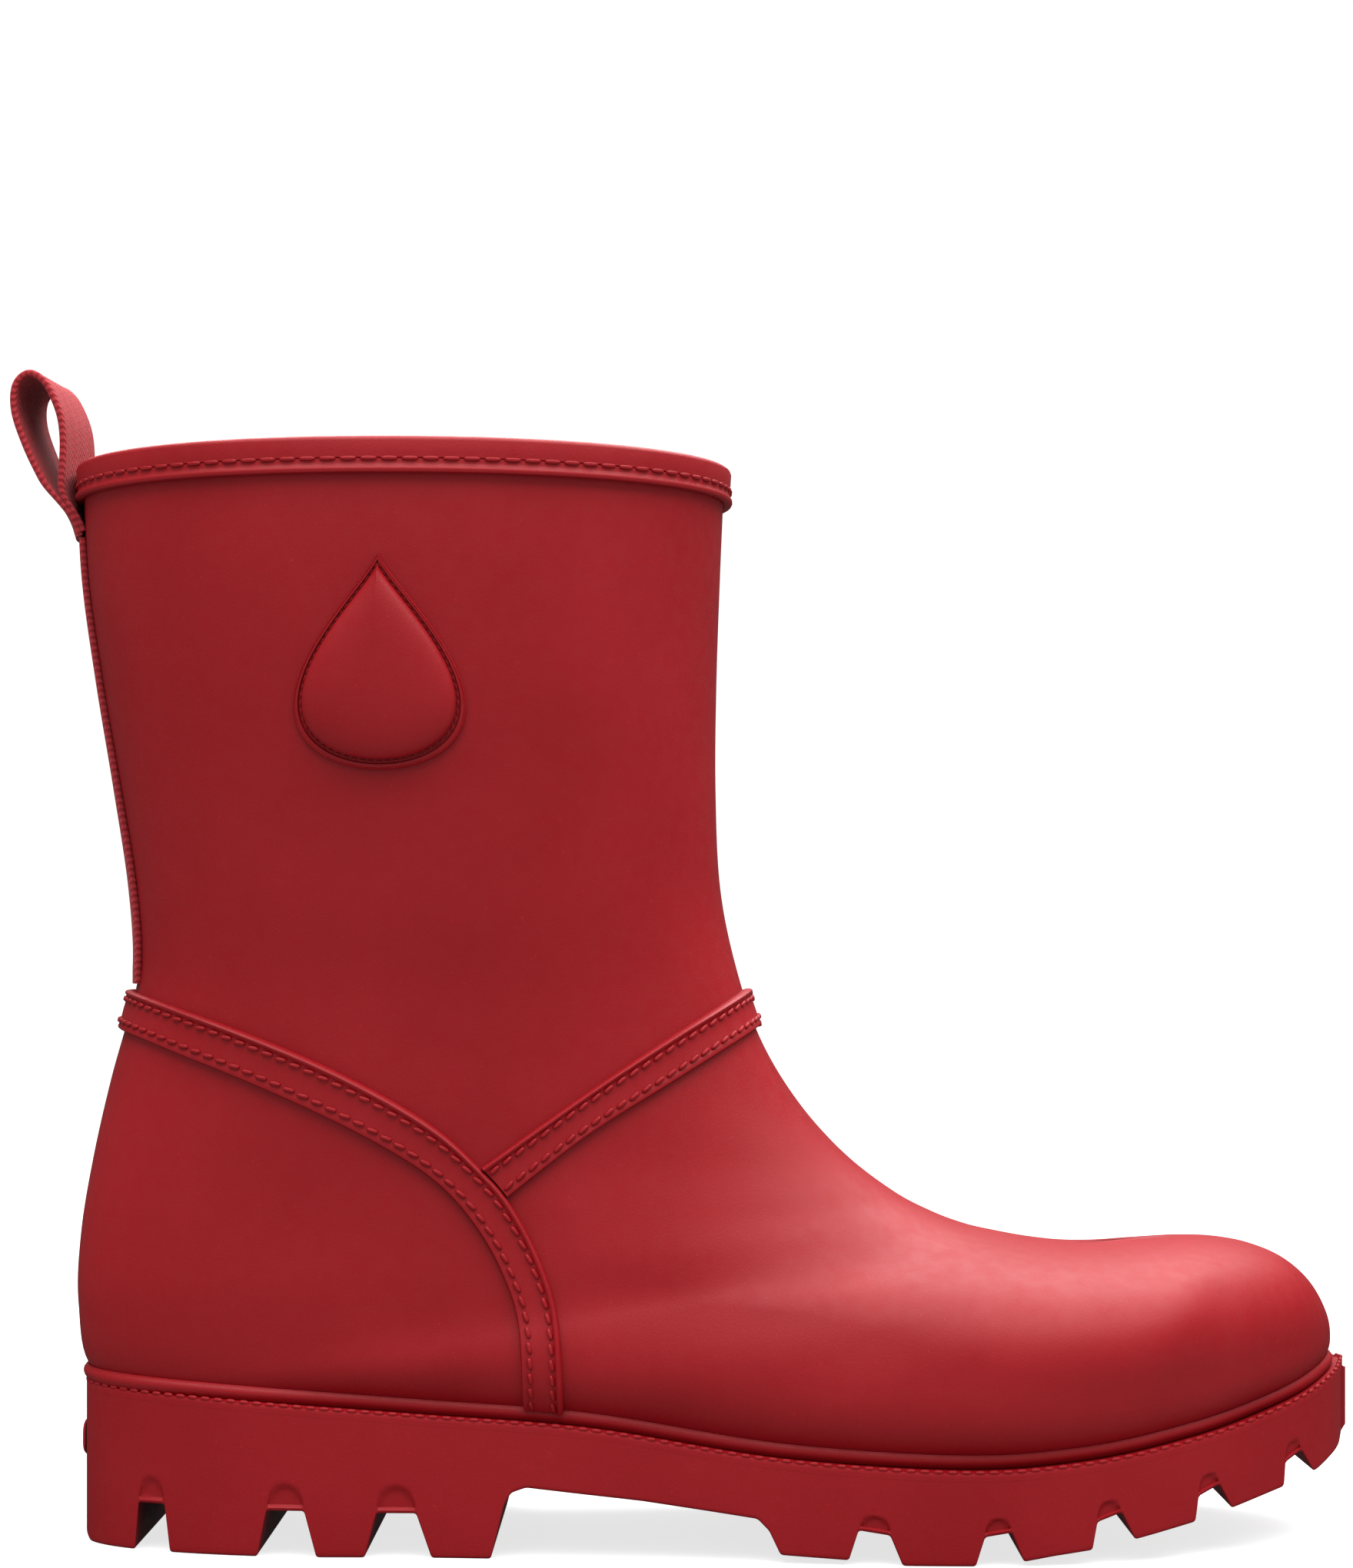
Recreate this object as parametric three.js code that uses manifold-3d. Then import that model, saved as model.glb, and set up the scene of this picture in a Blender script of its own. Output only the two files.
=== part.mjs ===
// Mid-calf rubber rain boot for the right foot, with a webbing pull loop at the back.
// Millimetres. +X points to the toe, +Y to the inner (medial) side and +Z up. While it is built, x is
// counted from the back of the sole; the finished group is shifted so that the origin lies on the ground
// in the middle of the heel tread.
import * as THREE from 'three';
import { mergeVertices } from 'three/addons/utils/BufferGeometryUtils.js';
import Module from 'manifold-3d';

const wasm = await Module();
wasm.setup();

// ---------------------------------------------------------------- driving dimensions

const HEEL_CENTRE = 35; // from the back of the sole to the middle of the heel tread
const SOLE_LENGTH = 290;
const SHAFT_TOP = 241.6; // top edge of the rubber, under the collar

const GAP = 0.3; // clearance between neighbouring pieces
const WALL = 2.4; // rubber of the upper
const LINING = 1; // knitted lining
const STIFFENER = 1.3; // toe puff, heel counter and insole board, between the rubber and the lining
const STIFFENER_TOP = 92; // the lining stands off the rubber below this height
const STIFFENER_FADE = 24; // and meets it again this much higher
const FOOTBED = 5;
const FOOTBED_COVER = 0.9;
const STRAP_LIFT = 2; // how far the straps stand proud
const COLLAR_LIFT = 1.6;
const BEAD_LIFT = 2.1;
const WEBBING = 1.4;
const WEBBING_WIDTH = 25;
const WELT = 2; // thickness of the stitched ledge
const WELT_TUCK = 4; // how far it reaches in under the upper
const FLANGE = 3.2; // how far the sole stands out past the upper
const HEEL_FLANGE = 0.6; // the same at the back of the heel
const CUSHION = 4.5; // height of the emblem's padded middle

const AROUND = 24; // facets round the upper
const RINGS_PER_SLICE = 1.1;
const FAR = 90; // past either side of the boot

// ---------------------------------------------------------------- the upper's surface

// The upper is lofted through slices that fan from level ones round the leg to upright ones across the
// toes. A slice runs from a point on the back or underside to a point on the front or top, [x, z]. half is
// its half-width, reached at `widest` of the way along it, and middle shifts it sideways, to the inner
// side where positive. low and high are how square the slice is below and above its widest point, where 2
// is an ellipse.
const SLICES = [
  { back: [-0.3, SHAFT_TOP], front: [146.4, SHAFT_TOP],
    half: 56, middle: 0, widest: 0.5, low: 2.1, high: 2.1 },
  { back: [0.7, 218], front: [145.4, 218], half: 55, middle: 0, widest: 0.5, low: 2.1, high: 2.1 },
  { back: [3.9, 194], front: [144.6, 194], half: 52.5, middle: 0, widest: 0.5, low: 2.1, high: 2.1 },
  { back: [7.8, 170], front: [144.4, 170], half: 49, middle: 0, widest: 0.5, low: 2.1, high: 2.1 },
  { back: [11.2, 147], front: [145.5, 147], half: 45.5, middle: 0, widest: 0.5, low: 2.1, high: 2.1 },
  { back: [12.2, 129], front: [149.4, 128], half: 42.5, middle: 0, widest: 0.5, low: 2.2, high: 2.1 },
  { back: [9.6, 117], front: [155, 112], half: 41, middle: 0, widest: 0.5, low: 2.3, high: 2.1 },
  { back: [5.9, 103.5], front: [163.5, 98], half: 40, middle: 0, widest: 0.5, low: 2.4, high: 2.1 },
  { back: [2.1, 86.3], front: [174, 86.3], half: 39, middle: 0, widest: 0.5, low: 2.6, high: 2.2 },
  { back: [-0.5, 69], front: [185.3, 77.6], half: 38.5, middle: -0.5, widest: 0.55, low: 2.9, high: 2.2 },
  { back: [-0.8, 53], front: [194, 73], half: 38.5, middle: -1, widest: 0.6, low: 3.2, high: 2.2 },
  { back: [2.5, 38], front: [202, 70], half: 39, middle: -1, widest: 0.65, low: 3.2, high: 2.2 },
  { back: [18, 31.5], front: [209, 68.4], half: 40, middle: -1.5, widest: 0.65, low: 3.1, high: 2.2 },
  { back: [60, 29], front: [217, 67], half: 41.3, middle: -2.5, widest: 0.65, low: 3, high: 2.2 },
  { back: [110, 25], front: [225, 66.2], half: 43.8, middle: -3.5, widest: 0.6, low: 2.9, high: 2.2 },
  { back: [155, 19.5], front: [233, 66.2], half: 47, middle: -3.5, widest: 0.52, low: 3.2, high: 2.2 },
  { back: [195, 18], front: [242, 66.8], half: 48.4, middle: -2.5, widest: 0.45, low: 3.7, high: 2.2 },
  { back: [225, 20.5], front: [251.5, 67.2], half: 46.6, middle: -0.5, widest: 0.42, low: 4, high: 2.2 },
  { back: [248, 25], front: [260, 66.8], half: 40.5, middle: 2, widest: 0.4, low: 4, high: 2.2 },
  { back: [264, 29.5], front: [268, 65.2], half: 33.5, middle: 4, widest: 0.4, low: 3.6, high: 2.2 },
  { back: [275, 33], front: [275.5, 62], half: 25.8, middle: 5.5, widest: 0.42, low: 3.2, high: 2.2 },
  { back: [282.3, 36.8], front: [281.5, 56.8], half: 16.5, middle: 6.5, widest: 0.45, low: 2.8, high: 2.2 },
  { back: [285.8, 40.2], front: [285.4, 50], half: 8, middle: 7, widest: 0.5, low: 2.4, high: 2.2 },
  { back: [286.6, 44.5], front: [286.6, 44.5], half: 0, middle: 7, widest: 0.5, low: 2.2, high: 2.2 },
];
const TOE = SLICES.length - 1;

// A smooth value between the slices: `pick` takes one number from a slice, and `at` is a slice's number.
function between(pick, at) {
  const first = Math.min(Math.max(Math.floor(at), 0), TOE - 1);
  const part = THREE.MathUtils.clamp(at - first, 0, 1);
  const [a, b, c, d] = [-1, 0, 1, 2].map((step) => pick(SLICES[THREE.MathUtils.clamp(first + step, 0, TOE)]));
  const turn = (c - a) / 2;
  const next = (d - b) / 2;
  return b + part * (turn + part * (3 * (c - b) - 2 * turn - next + part * (2 * (b - c) + turn + next)));
}

function slice(at) {
  return {
    back: [between((s) => s.back[0], at), between((s) => s.back[1], at)],
    front: [between((s) => s.front[0], at), between((s) => s.front[1], at)],
    half: between((s) => s.half, at),
    middle: between((s) => s.middle, at),
    widest: between((s) => s.widest, at),
    low: between((s) => s.low, at),
    high: between((s) => s.high, at),
  };
}

// A point of the upper's skin. turn is 0 at a slice's back and half a turn at its front, and it is negative
// on the outer (lateral) side of the foot.
function skin(at, turn) {
  const s = slice(at);
  const power = 2 / (Math.cos(turn) > 0 ? s.low : s.high);
  const reach = Math.abs(Math.cos(turn)) ** power;
  const along = Math.cos(turn) > 0 ? s.widest * (1 - reach) : s.widest + (1 - s.widest) * reach;
  return new THREE.Vector3(
    THREE.MathUtils.lerp(s.back[0], s.front[0], along),
    s.middle + Math.sign(turn) * s.half * Math.abs(Math.sin(turn)) ** power,
    THREE.MathUtils.lerp(s.back[1], s.front[1], along),
  );
}

function skinNormal(at, turn) {
  const step = 0.02;
  const around = skin(at, turn + step).sub(skin(at, turn - step));
  const down = skin(Math.min(at + step, TOE), turn).sub(skin(Math.max(at - step, 0), turn));
  return around.cross(down).normalize();
}

// The half-width and middle of the upper at a place in its side view.
function breadth(x, z) {
  let [above, below] = [0, TOE];
  while (below - above > 1e-4) {
    const { back, front } = slice((above + below) / 2);
    const side = (front[0] - back[0]) * (z - back[1]) - (front[1] - back[1]) * (x - back[0]);
    if (side < 0) above = (above + below) / 2;
    else below = (above + below) / 2;
  }
  const s = slice(above);
  const length = Math.hypot(s.front[0] - s.back[0], s.front[1] - s.back[1]);
  const along = Math.min(Math.hypot(x - s.back[0], z - s.back[1]) / length, 1);
  const low = along < s.widest;
  const reach = low ? 1 - along / s.widest : (along - s.widest) / (1 - s.widest);
  const power = low ? s.low : s.high;
  return { half: s.half * (1 - reach ** power) ** (1 / power), middle: s.middle };
}

// ---------------------------------------------------------------- solids

function solid(geometry) {
  geometry.deleteAttribute('normal');
  geometry.deleteAttribute('uv');
  const merged = mergeVertices(geometry);
  return new wasm.Manifold(new wasm.Mesh({
    numProp: 3,
    vertProperties: Float32Array.from(merged.attributes.position.array),
    triVerts: Uint32Array.from(merged.index.array),
  }));
}

// The outline of a side view, [x, z] points, from one side of the boot to the other.
function acrossBoot(points, near = -FAR, far = FAR) {
  const shape = new THREE.Shape(points.map(([x, z]) => new THREE.Vector2(x, z)));
  const geometry = new THREE.ExtrudeGeometry(shape, { depth: far - near, bevelEnabled: false });
  return solid(geometry.rotateX(Math.PI / 2).translate(0, far, 0));
}

// The outline of a plan, [x, y] points, from one height to another.
function upright(points, low, high) {
  const shape = new THREE.Shape(points.map(([x, y]) => new THREE.Vector2(x, y)));
  const geometry = new THREE.ExtrudeGeometry(shape, { depth: high - low, bevelEnabled: false });
  return solid(geometry.translate(0, 0, low));
}

function box(x, y, z) {
  return upright([[x[0], y[0]], [x[1], y[0]], [x[1], y[1]], [x[0], y[1]]], z[0], z[1]);
}

// Everything inside the upper's skin, with the skin moved out by `lift`, or in where that is negative, and
// its top edge raised by `rise`. lift may depend on the height.
function insideSkin(lift, rise = 0) {
  const liftAt = typeof lift === 'function' ? lift : () => lift;
  const rings = Math.round(TOE * RINGS_PER_SLICE);
  const positions = [];
  const triangles = [];
  const addRing = (at, extra) => {
    for (let j = 0; j < AROUND; j += 1) {
      const turn = Math.PI * ((2 * j) / AROUND - 1);
      const point = skin(at, turn);
      point.addScaledVector(skinNormal(at, turn), liftAt(point.z));
      if (at === 0) point.z = SHAFT_TOP;
      positions.push(point.x, point.y, point.z + extra);
    }
  };
  if (rise > 0) addRing(0, rise);
  for (let i = 0; i < rings; i += 1) addRing((TOE * i) / rings, 0);
  const last = positions.length / 3 / AROUND - 1;
  for (let i = 0; i < last; i += 1) {
    for (let j = 0; j < AROUND; j += 1) {
      const a = i * AROUND + j;
      const b = i * AROUND + ((j + 1) % AROUND);
      triangles.push(a, b, a + AROUND, b, b + AROUND, a + AROUND);
    }
  }
  const lid = positions.length / 3;
  const tip = skin(TOE, 0);
  const { back, front } = SLICES[0];
  positions.push((back[0] + front[0]) / 2, 0, SHAFT_TOP + rise);
  positions.push(tip.x + liftAt(tip.z), tip.y, tip.z);
  for (let j = 0; j < AROUND; j += 1) {
    const next = (j + 1) % AROUND;
    triangles.push(lid, next, j, last * AROUND + j, last * AROUND + next, lid + 1);
  }
  const geometry = new THREE.BufferGeometry();
  geometry.setAttribute('position', new THREE.Float32BufferAttribute(positions, 3));
  geometry.setIndex(triangles);
  return solid(geometry);
}

// The layer between two lifts of the skin, open at the top.
function layer(inner, outer, rise = 0) {
  return insideSkin(outer, rise).subtract(insideSkin(inner, rise + 10));
}

function mesh(name, shape, colour, roughness = 0.5, metalness = 0) {
  const { vertProperties, triVerts } = shape.getMesh();
  const geometry = new THREE.BufferGeometry();
  geometry.setAttribute('position', new THREE.BufferAttribute(vertProperties, 3));
  geometry.setIndex(new THREE.BufferAttribute(triVerts, 1));
  geometry.computeVertexNormals();
  const material = new THREE.MeshStandardMaterial({ color: colour, roughness, metalness });
  const made = new THREE.Mesh(geometry, material);
  made.name = name;
  return made;
}

// A smooth line through [x, z] points.
function smooth(points, pieces = 4) {
  const curve = new THREE.SplineCurve(points.map(([x, z]) => new THREE.Vector2(x, z)));
  return curve.getPoints(pieces * (points.length - 1)).map((p) => [p.x, p.y]);
}

// ---------------------------------------------------------------- the line where upper and sole meet

const RIM = [[-8, 36.6], [40, 33.8], [80, 31], [115, 28.6], [156, 22.6], [197, 20.3], [222, 21.7],
  [244, 25.1], [262, 29], [280, 34.6], [298, 43]]; // the sole's top edge
const RAND = 3.4; // height of the rounded bead between the sole's edge and the upper

const rim = smooth(RIM, 3);

function rimHeight(x) {
  const i = rim.findIndex((p) => p[0] > x);
  const [a, b] = [rim[i - 1], rim[i]];
  return THREE.MathUtils.lerp(a[1], b[1], (x - a[0]) / (b[0] - a[0]));
}

// The plan of the upper where it meets the sole, moved out by `out`, which may depend on x.
function footPlan(out, count = 28) {
  const outAt = typeof out === 'function' ? out : () => out;
  const back = skin(10.9, 0).x;
  const front = skin(TOE, 0).x;
  const ring = [];
  for (let i = 0; i < 2 * count; i += 1) {
    const side = i < count ? -1 : 1;
    const x = back + (front - back) * (1 - Math.cos((Math.PI * i) / count)) / 2;
    const { half, middle } = breadth(x, rimHeight(x) + RAND);
    ring.push(new THREE.Vector3(x, i % count ? middle + side * half : middle, 0));
  }
  const curve = new THREE.CatmullRomCurve3(ring, true);
  return curve.getSpacedPoints(2 * count).slice(0, -1).map((p, i) => {
    const ahead = curve.getTangentAt(i / (2 * count));
    return [p.x + ahead.y * outAt(p.x), p.y - ahead.x * outAt(p.x)];
  });
}

function flange(x) {
  return THREE.MathUtils.lerp(HEEL_FLANGE, FLANGE, THREE.MathUtils.smoothstep(x, 0, 60));
}

// Everything between two heights above the sole's edge line.
function rimBand(low, high) {
  const top = rim.map(([x, z]) => [x, z + high]);
  const bottom = rim.map(([x, z]) => [x, z + low]).reverse();
  return acrossBoot([...top, ...bottom]);
}

// ---------------------------------------------------------------- upper, lining and collar

const RED = 0x97191f;
const LINING_RED = 0x7c1a20;

// The lining lies close to the rubber in the shaft and leaves room for the stiffeners in the foot.
function liningDepth(z) {
  const fade = THREE.MathUtils.smoothstep(z, STIFFENER_TOP, STIFFENER_TOP + STIFFENER_FADE);
  return WALL + GAP + (1 - fade) * (STIFFENER + GAP);
}

function upperShell() {
  return mesh('upper_shell', layer(-WALL, 0), RED);
}

function sockLining() {
  const shape = layer((z) => -liningDepth(z) - LINING, (z) => -liningDepth(z));
  return mesh('sock_lining', shape, LINING_RED, 0.95);
}

function stiffenerLayer() {
  return layer(-WALL - GAP - STIFFENER, -WALL - GAP);
}

function toePuff() {
  const reach = acrossBoot([[236, 80], [248, 38], [300, 38], [300, 80]]);
  return mesh('toe_puff', stiffenerLayer().intersect(reach), 0xb9ae9a, 0.9);
}

function heelCounter() {
  const reach = acrossBoot([[-10, 44], [62, 44], [74, 52], [58, 76], [40, 88], [-10, 88]]);
  return mesh('heel_counter', stiffenerLayer().intersect(reach), 0xb9ae9a, 0.9);
}

function insoleBoard() {
  const reach = upright(footPlan(-9), 0, 60).intersect(acrossBoot([[8, 0], [238, 0], [238, 40], [8, 40]]));
  return mesh('insole_board', stiffenerLayer().intersect(reach), 0xa98d63, 0.9);
}

const COLLAR_HANG = 3.4; // how far the collar's outer wall reaches down
const BEAD_HEIGHT = 2.9;

// The collar binds the top edge: a channel over the rubber and the lining.
function collarBand() {
  const innerWall = 0.9;
  const depth = WALL + GAP + LINING + GAP;
  const bound = layer(-depth - innerWall, COLLAR_LIFT, 1.3);
  const channel = layer(-depth, GAP, GAP);
  const band = box([-20, 170], [-FAR, FAR], [SHAFT_TOP - COLLAR_HANG, SHAFT_TOP + 5]);
  return mesh('collar_band', bound.subtract(channel).intersect(band), RED);
}

function collarBead() {
  const top = SHAFT_TOP - COLLAR_HANG - GAP;
  const band = box([-20, 170], [-FAR, FAR], [top - BEAD_HEIGHT, top]);
  return mesh('collar_bead', layer(GAP, BEAD_LIFT).intersect(band), RED);
}

// ---------------------------------------------------------------- straps and emblem

const COUNTER_TOP = [[-12, 125.2], [9, 124.2], [32, 118], [54, 109.8], [71, 101.5], [83.7, 93.5],
  [92.4, 85.4], [99.3, 77.3], [106, 64.5], [109.8, 51], [111, 30]];
const COUNTER_BOTTOM = [[-12, 114.8], [8, 115], [30, 108.3], [50.3, 100.3], [68, 91.8], [81.7, 83.2],
  [90.5, 73.9], [97.2, 62.5], [101, 50.1], [102, 30]];
const INSTEP_TOP = [[165, 133], [151.6, 124.5], [133.4, 113.5], [114.2, 100.8], [85, 80]];
const INSTEP_BOTTOM = [[168, 124], [153.7, 115.4], [133.4, 103.2], [114.3, 91.2], [90, 72]];

function strapBand(top, bottom, grow = 0) {
  const upper = smooth(top, 3).map(([x, z]) => [x + grow * 0.6, z + grow]);
  return acrossBoot([...upper, ...smooth(bottom, 3).reverse()]);
}

function aboveSole() {
  return rimBand(RAND + GAP, 300);
}

function counterStrap() {
  const band = strapBand(COUNTER_TOP, COUNTER_BOTTOM).intersect(aboveSole());
  return mesh('counter_strap', layer(GAP, GAP + STRAP_LIFT).intersect(band), RED);
}

function instepStrap() {
  const edge = smooth(COUNTER_TOP, 3).map(([x, z]) => [x + 0.5, z + 0.5]);
  const behind = acrossBoot([[-20, 140], ...edge, [-20, 20]]);
  const band = strapBand(INSTEP_TOP, INSTEP_BOTTOM).subtract(behind);
  return mesh('instep_strap', layer(GAP, GAP + STRAP_LIFT).intersect(band), RED);
}

const EMBLEM = { x: 71.5, z: 195, halfWidth: 20, halfHeight: 23, point: 1.4 };
const EMBLEM_BASE = 1.1; // thickness of the emblem's flange

// A raindrop's outline, shrunk by `inset`.
function dropOutline(inset = 0, count = 24) {
  const points = [];
  for (let i = 0; i < count; i += 1) {
    const a = (2 * Math.PI * i) / count;
    const taper = 1.3 * Math.sin(a) * Math.abs(Math.sin(a / 2)) ** EMBLEM.point;
    const width = (EMBLEM.halfWidth - inset) * taper;
    points.push([EMBLEM.x + width, EMBLEM.z + (EMBLEM.halfHeight - inset) * Math.cos(a)]);
  }
  return points;
}

function emblemBase() {
  const drop = acrossBoot(dropOutline(), -FAR, 0);
  return mesh('emblem_base', layer(GAP, GAP + EMBLEM_BASE).intersect(drop), RED);
}

// The padded middle is stepped: each step stands further out and further in from the edge.
function emblemCushion() {
  const floor = 2 * GAP + EMBLEM_BASE;
  const steps = 3;
  let shape = null;
  for (let i = 1; i <= steps; i += 1) {
    const inset = 2.6 + 3.4 * (1 - Math.cos((Math.PI / 2) * ((i - 1) / steps)));
    const top = floor + CUSHION * Math.sin((Math.PI / 2) * (i / steps));
    const step = layer(floor, top).intersect(acrossBoot(dropOutline(inset), -FAR, 0));
    shape = shape ? shape.add(step) : step;
  }
  return mesh('emblem_cushion', shape, RED);
}

// ---------------------------------------------------------------- webbing

const BACKSTAY_TOP = 226;
const LOOP_PIVOT = [-1.7, 228];
// The loop's middle line, up its front leg, over the top and down its rear leg.
const LOOP_LINE = [[-3.3, 234.5], [-3.35, 241], [-3.1, 249], [-4.1, 256], [-7.4, 262.6], [-11.2, 265],
  [-14.4, 262.2], [-14.8, 256], [-12, 248], [-8, 240.5], [-4.9, 234.8]];
const LOOP_SKEW = 6; // degrees: its inner side stands a little forward

function backstayWebbing() {
  const half = WEBBING_WIDTH / 2;
  const reach = box([-20, 40], [-half, half], [125.4, BACKSTAY_TOP]);
  return mesh('backstay_webbing', layer(GAP, GAP + WEBBING).intersect(reach), RED, 0.9);
}

// A band of even thickness along [x, z] points, as wide as the webbing.
function webbingBand(points, thickness) {
  const curve = new THREE.SplineCurve(points.map(([x, z]) => new THREE.Vector2(x, z)));
  const line = curve.getPoints(2 * (points.length - 1));
  const sides = [1, -1].map((side) => line.map((p, i) => {
    const t = curve.getTangent(i / (line.length - 1));
    return [p.x - side * t.y * thickness / 2, p.y + side * t.x * thickness / 2];
  }));
  return acrossBoot([...sides[0], ...sides[1].reverse()], -WEBBING_WIDTH / 2, WEBBING_WIDTH / 2);
}

function pullLoop() {
  const [x, z] = LOOP_PIVOT;
  const root = webbingBand([[x, z - 0.8], [x - 1, z + 3.4], [x - 2.5, z + 8.4]], 2 * WEBBING);
  const made = mesh('pull_loop', webbingBand(LOOP_LINE, WEBBING).add(root), RED, 0.9);
  made.geometry.translate(-x, 0, -z).rotateZ(THREE.MathUtils.degToRad(-LOOP_SKEW)).translate(x, 0, z);
  return made;
}

// ---------------------------------------------------------------- sole

// The sole from the side, under its top edge: heel, breast, arch, flat forefoot and rising toe.
const UNDERSIDE = [[0, 6], [1, 2.5], [3.5, 0], [94.8, 0], [97.7, 11.6], [99.2, 14.4], [102.5, 15.6],
  [128, 12.9], [153, 9.5], [155.5, 7], [158, 1.8], [172.7, 1], [184.3, 0], [205, 0], [217, 2.1],
  [226, 3.3], [249, 8], [271, 13.5], [280, 16], [287.5, 19.8], [290.5, 24.5]];

// Notches right across the tread: [from, to] at the tread and at the roof, their depth, and how high the
// arch over each stands.
const NOTCHES = [
  { foot: [15.2, 23.5], roof: [16.1, 22.2], depth: 10.5, arch: 5.7 },
  { foot: [43.4, 56.5], roof: [45.5, 53.8], depth: 10.1, arch: 5.7 },
  { foot: [67.1, 81.8], roof: [69.7, 78.4], depth: 9.7, arch: 5.9 },
  { foot: [172.7, 184.3], roof: [174.8, 181.6], depth: 6.5, arch: 3.6 },
  { foot: [200, 210.4], roof: [202, 207.8], depth: 6.3, arch: 3.5 },
  { foot: [225.4, 234.9], roof: [226.5, 231.9], depth: 6, arch: 3.6 },
  { foot: [248.9, 257.6], roof: [249.7, 254.7], depth: 5.5, arch: 3.7 },
  { foot: [270.8, 278.8], roof: [271.2, 275.4], depth: 5.3, arch: 3.6 },
];
const SCOOP_DEPTH = 0.7; // how far the arches over the notches are hollowed into the wall

// The height of the tread at a place along the sole, as if it had no notches.
function treadHeight(x) {
  const i = UNDERSIDE.findIndex((p) => p[0] > x);
  const [a, b] = [UNDERSIDE[i - 1], UNDERSIDE[i]];
  return THREE.MathUtils.lerp(a[1], b[1], (x - a[0]) / (b[0] - a[0]));
}

// The corners of a notch, up one side and down the other, which run on below the ground.
function notch({ foot, roof, depth }) {
  const side = (i) => {
    const low = treadHeight(foot[i]);
    const below = 8;
    return [[foot[i] + (foot[i] - roof[i]) * (below / depth), low - below], [roof[i], low + depth]];
  };
  return acrossBoot([...side(0), ...side(1).reverse()]);
}

function scoop({ foot, roof, depth, arch }) {
  const middle = (roof[0] + roof[1]) / 2;
  const half = (roof[1] - roof[0]) / 2;
  const base = (treadHeight(foot[0]) + treadHeight(foot[1])) / 2 + depth;
  const outline = [[roof[0], base - 2], [roof[1], base - 2]];
  for (let i = 0; i <= 6; i += 1) {
    const a = (Math.PI * i) / 6;
    outline.push([middle + half * Math.cos(a), base + arch * Math.sin(a)]);
  }
  return acrossBoot(outline);
}

// The heel's hollow for its filler, grown by `grow`.
function heelHollow(grow) {
  const plan = upright(footPlan(-8 + grow), 13 - grow, 28.6 + (grow ? 20 : 0));
  return plan.intersect(box([8 - grow, 64 + grow], [-FAR, FAR], [0, 60]));
}

// The underside of the upper along its middle, lowered by `drop`.
function bottomLine(from, to, drop, steps = 8) {
  const line = [];
  for (let i = 0; i <= steps; i += 1) {
    const x = THREE.MathUtils.lerp(from, to, i / steps);
    let [low, high] = [12, TOE];
    while (high - low > 1e-3) {
      if (slice((low + high) / 2).back[0] < x) low = (low + high) / 2;
      else high = (low + high) / 2;
    }
    line.push([x, slice(low).back[1] - drop]);
  }
  return line;
}

// A sheet that lies under the upper, `thick` thick, from one x to another.
function underUpper(from, to, thick, grow) {
  const top = bottomLine(from - grow, to + grow, grow ? -20 : 0.7);
  const bottom = bottomLine(from - grow, to + grow, 0.7 + thick + grow);
  return acrossBoot([...top, ...bottom.reverse()]);
}

function forefootHollow(grow) {
  return upright(footPlan(-14 + grow), 0, 60).intersect(underUpper(162, 242, 2.2, grow));
}

function shankHollow(grow) {
  return underUpper(70, 152, 1.4, grow).intersect(box([0, 200], [-9 - grow, 3 + grow], [0, 80]));
}

function outsole() {
  const top = rim.map(([x, z]) => [x, z - WELT - GAP]).filter(([x]) => x > 0 && x < SOLE_LENGTH);
  const profile = acrossBoot([...UNDERSIDE, [292, 36], ...top.reverse(), [0, rimHeight(0) - WELT - GAP]]);
  let sole = upright(footPlan(flange), -1, 60).intersect(profile);
  const core = upright(footPlan((x) => flange(x) - SCOOP_DEPTH), -1, 60);
  for (const each of NOTCHES) sole = sole.subtract(notch(each)).subtract(scoop(each).subtract(core));
  sole = sole.subtract(heelHollow(GAP)).subtract(forefootHollow(GAP)).subtract(shankHollow(GAP));
  return mesh('outsole', sole.subtract(insideSkin(GAP)), 0x8c1219, 0.55);
}

function welt() {
  const ring = upright(footPlan(flange), 0, 60).subtract(upright(footPlan(-WELT_TUCK), -1, 61));
  return mesh('welt', ring.intersect(rimBand(-WELT, 0)).subtract(insideSkin(2 * GAP)), 0x8c1219, 0.55);
}

function randBead() {
  return mesh('rand_bead', layer(GAP, GAP + 2).intersect(rimBand(GAP, RAND)), RED);
}

function heelTab() {
  const plate = upright(footPlan((x) => flange(x) + GAP + 0.9), 18, 26);
  const back = box([-5, 6], [-11, 11], [0, 60]);
  const sole = upright(footPlan((x) => flange(x) + GAP), 0, 60);
  return mesh('heel_tab', plate.subtract(sole).intersect(back), RED);
}

// ---------------------------------------------------------------- inside the foot

const FOOTBED_TOP = WALL + STIFFENER + LINING + 3 * GAP + FOOTBED; // over the underside of the upper

function footbedLine(height) {
  return bottomLine(4, 284, -height, 16);
}

// The footbed fills the bottom of the lining.
function footbed() {
  const room = insideSkin((z) => -liningDepth(z) - LINING - GAP);
  const below = acrossBoot([...footbedLine(FOOTBED_TOP), [284, 0], [4, 0]]);
  return mesh('footbed', below.intersect(room).intersect(upright(footPlan(-9), 0, 80)), 0x3b3b3f, 0.9);
}

function footbedCover() {
  const bottom = footbedLine(FOOTBED_TOP + GAP);
  const sheet = acrossBoot([...footbedLine(FOOTBED_TOP + GAP + FOOTBED_COVER), ...bottom.reverse()]);
  return mesh('footbed_cover', sheet.intersect(upright(footPlan(-11), 0, 80)), 0x8a2228, 0.95);
}

function heelFiller() {
  return mesh('heel_filler', heelHollow(0), 0x6f6a62, 0.9);
}

function forefootFiller() {
  return mesh('forefoot_filler', forefootHollow(0), 0xb58a58, 0.95);
}

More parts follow.
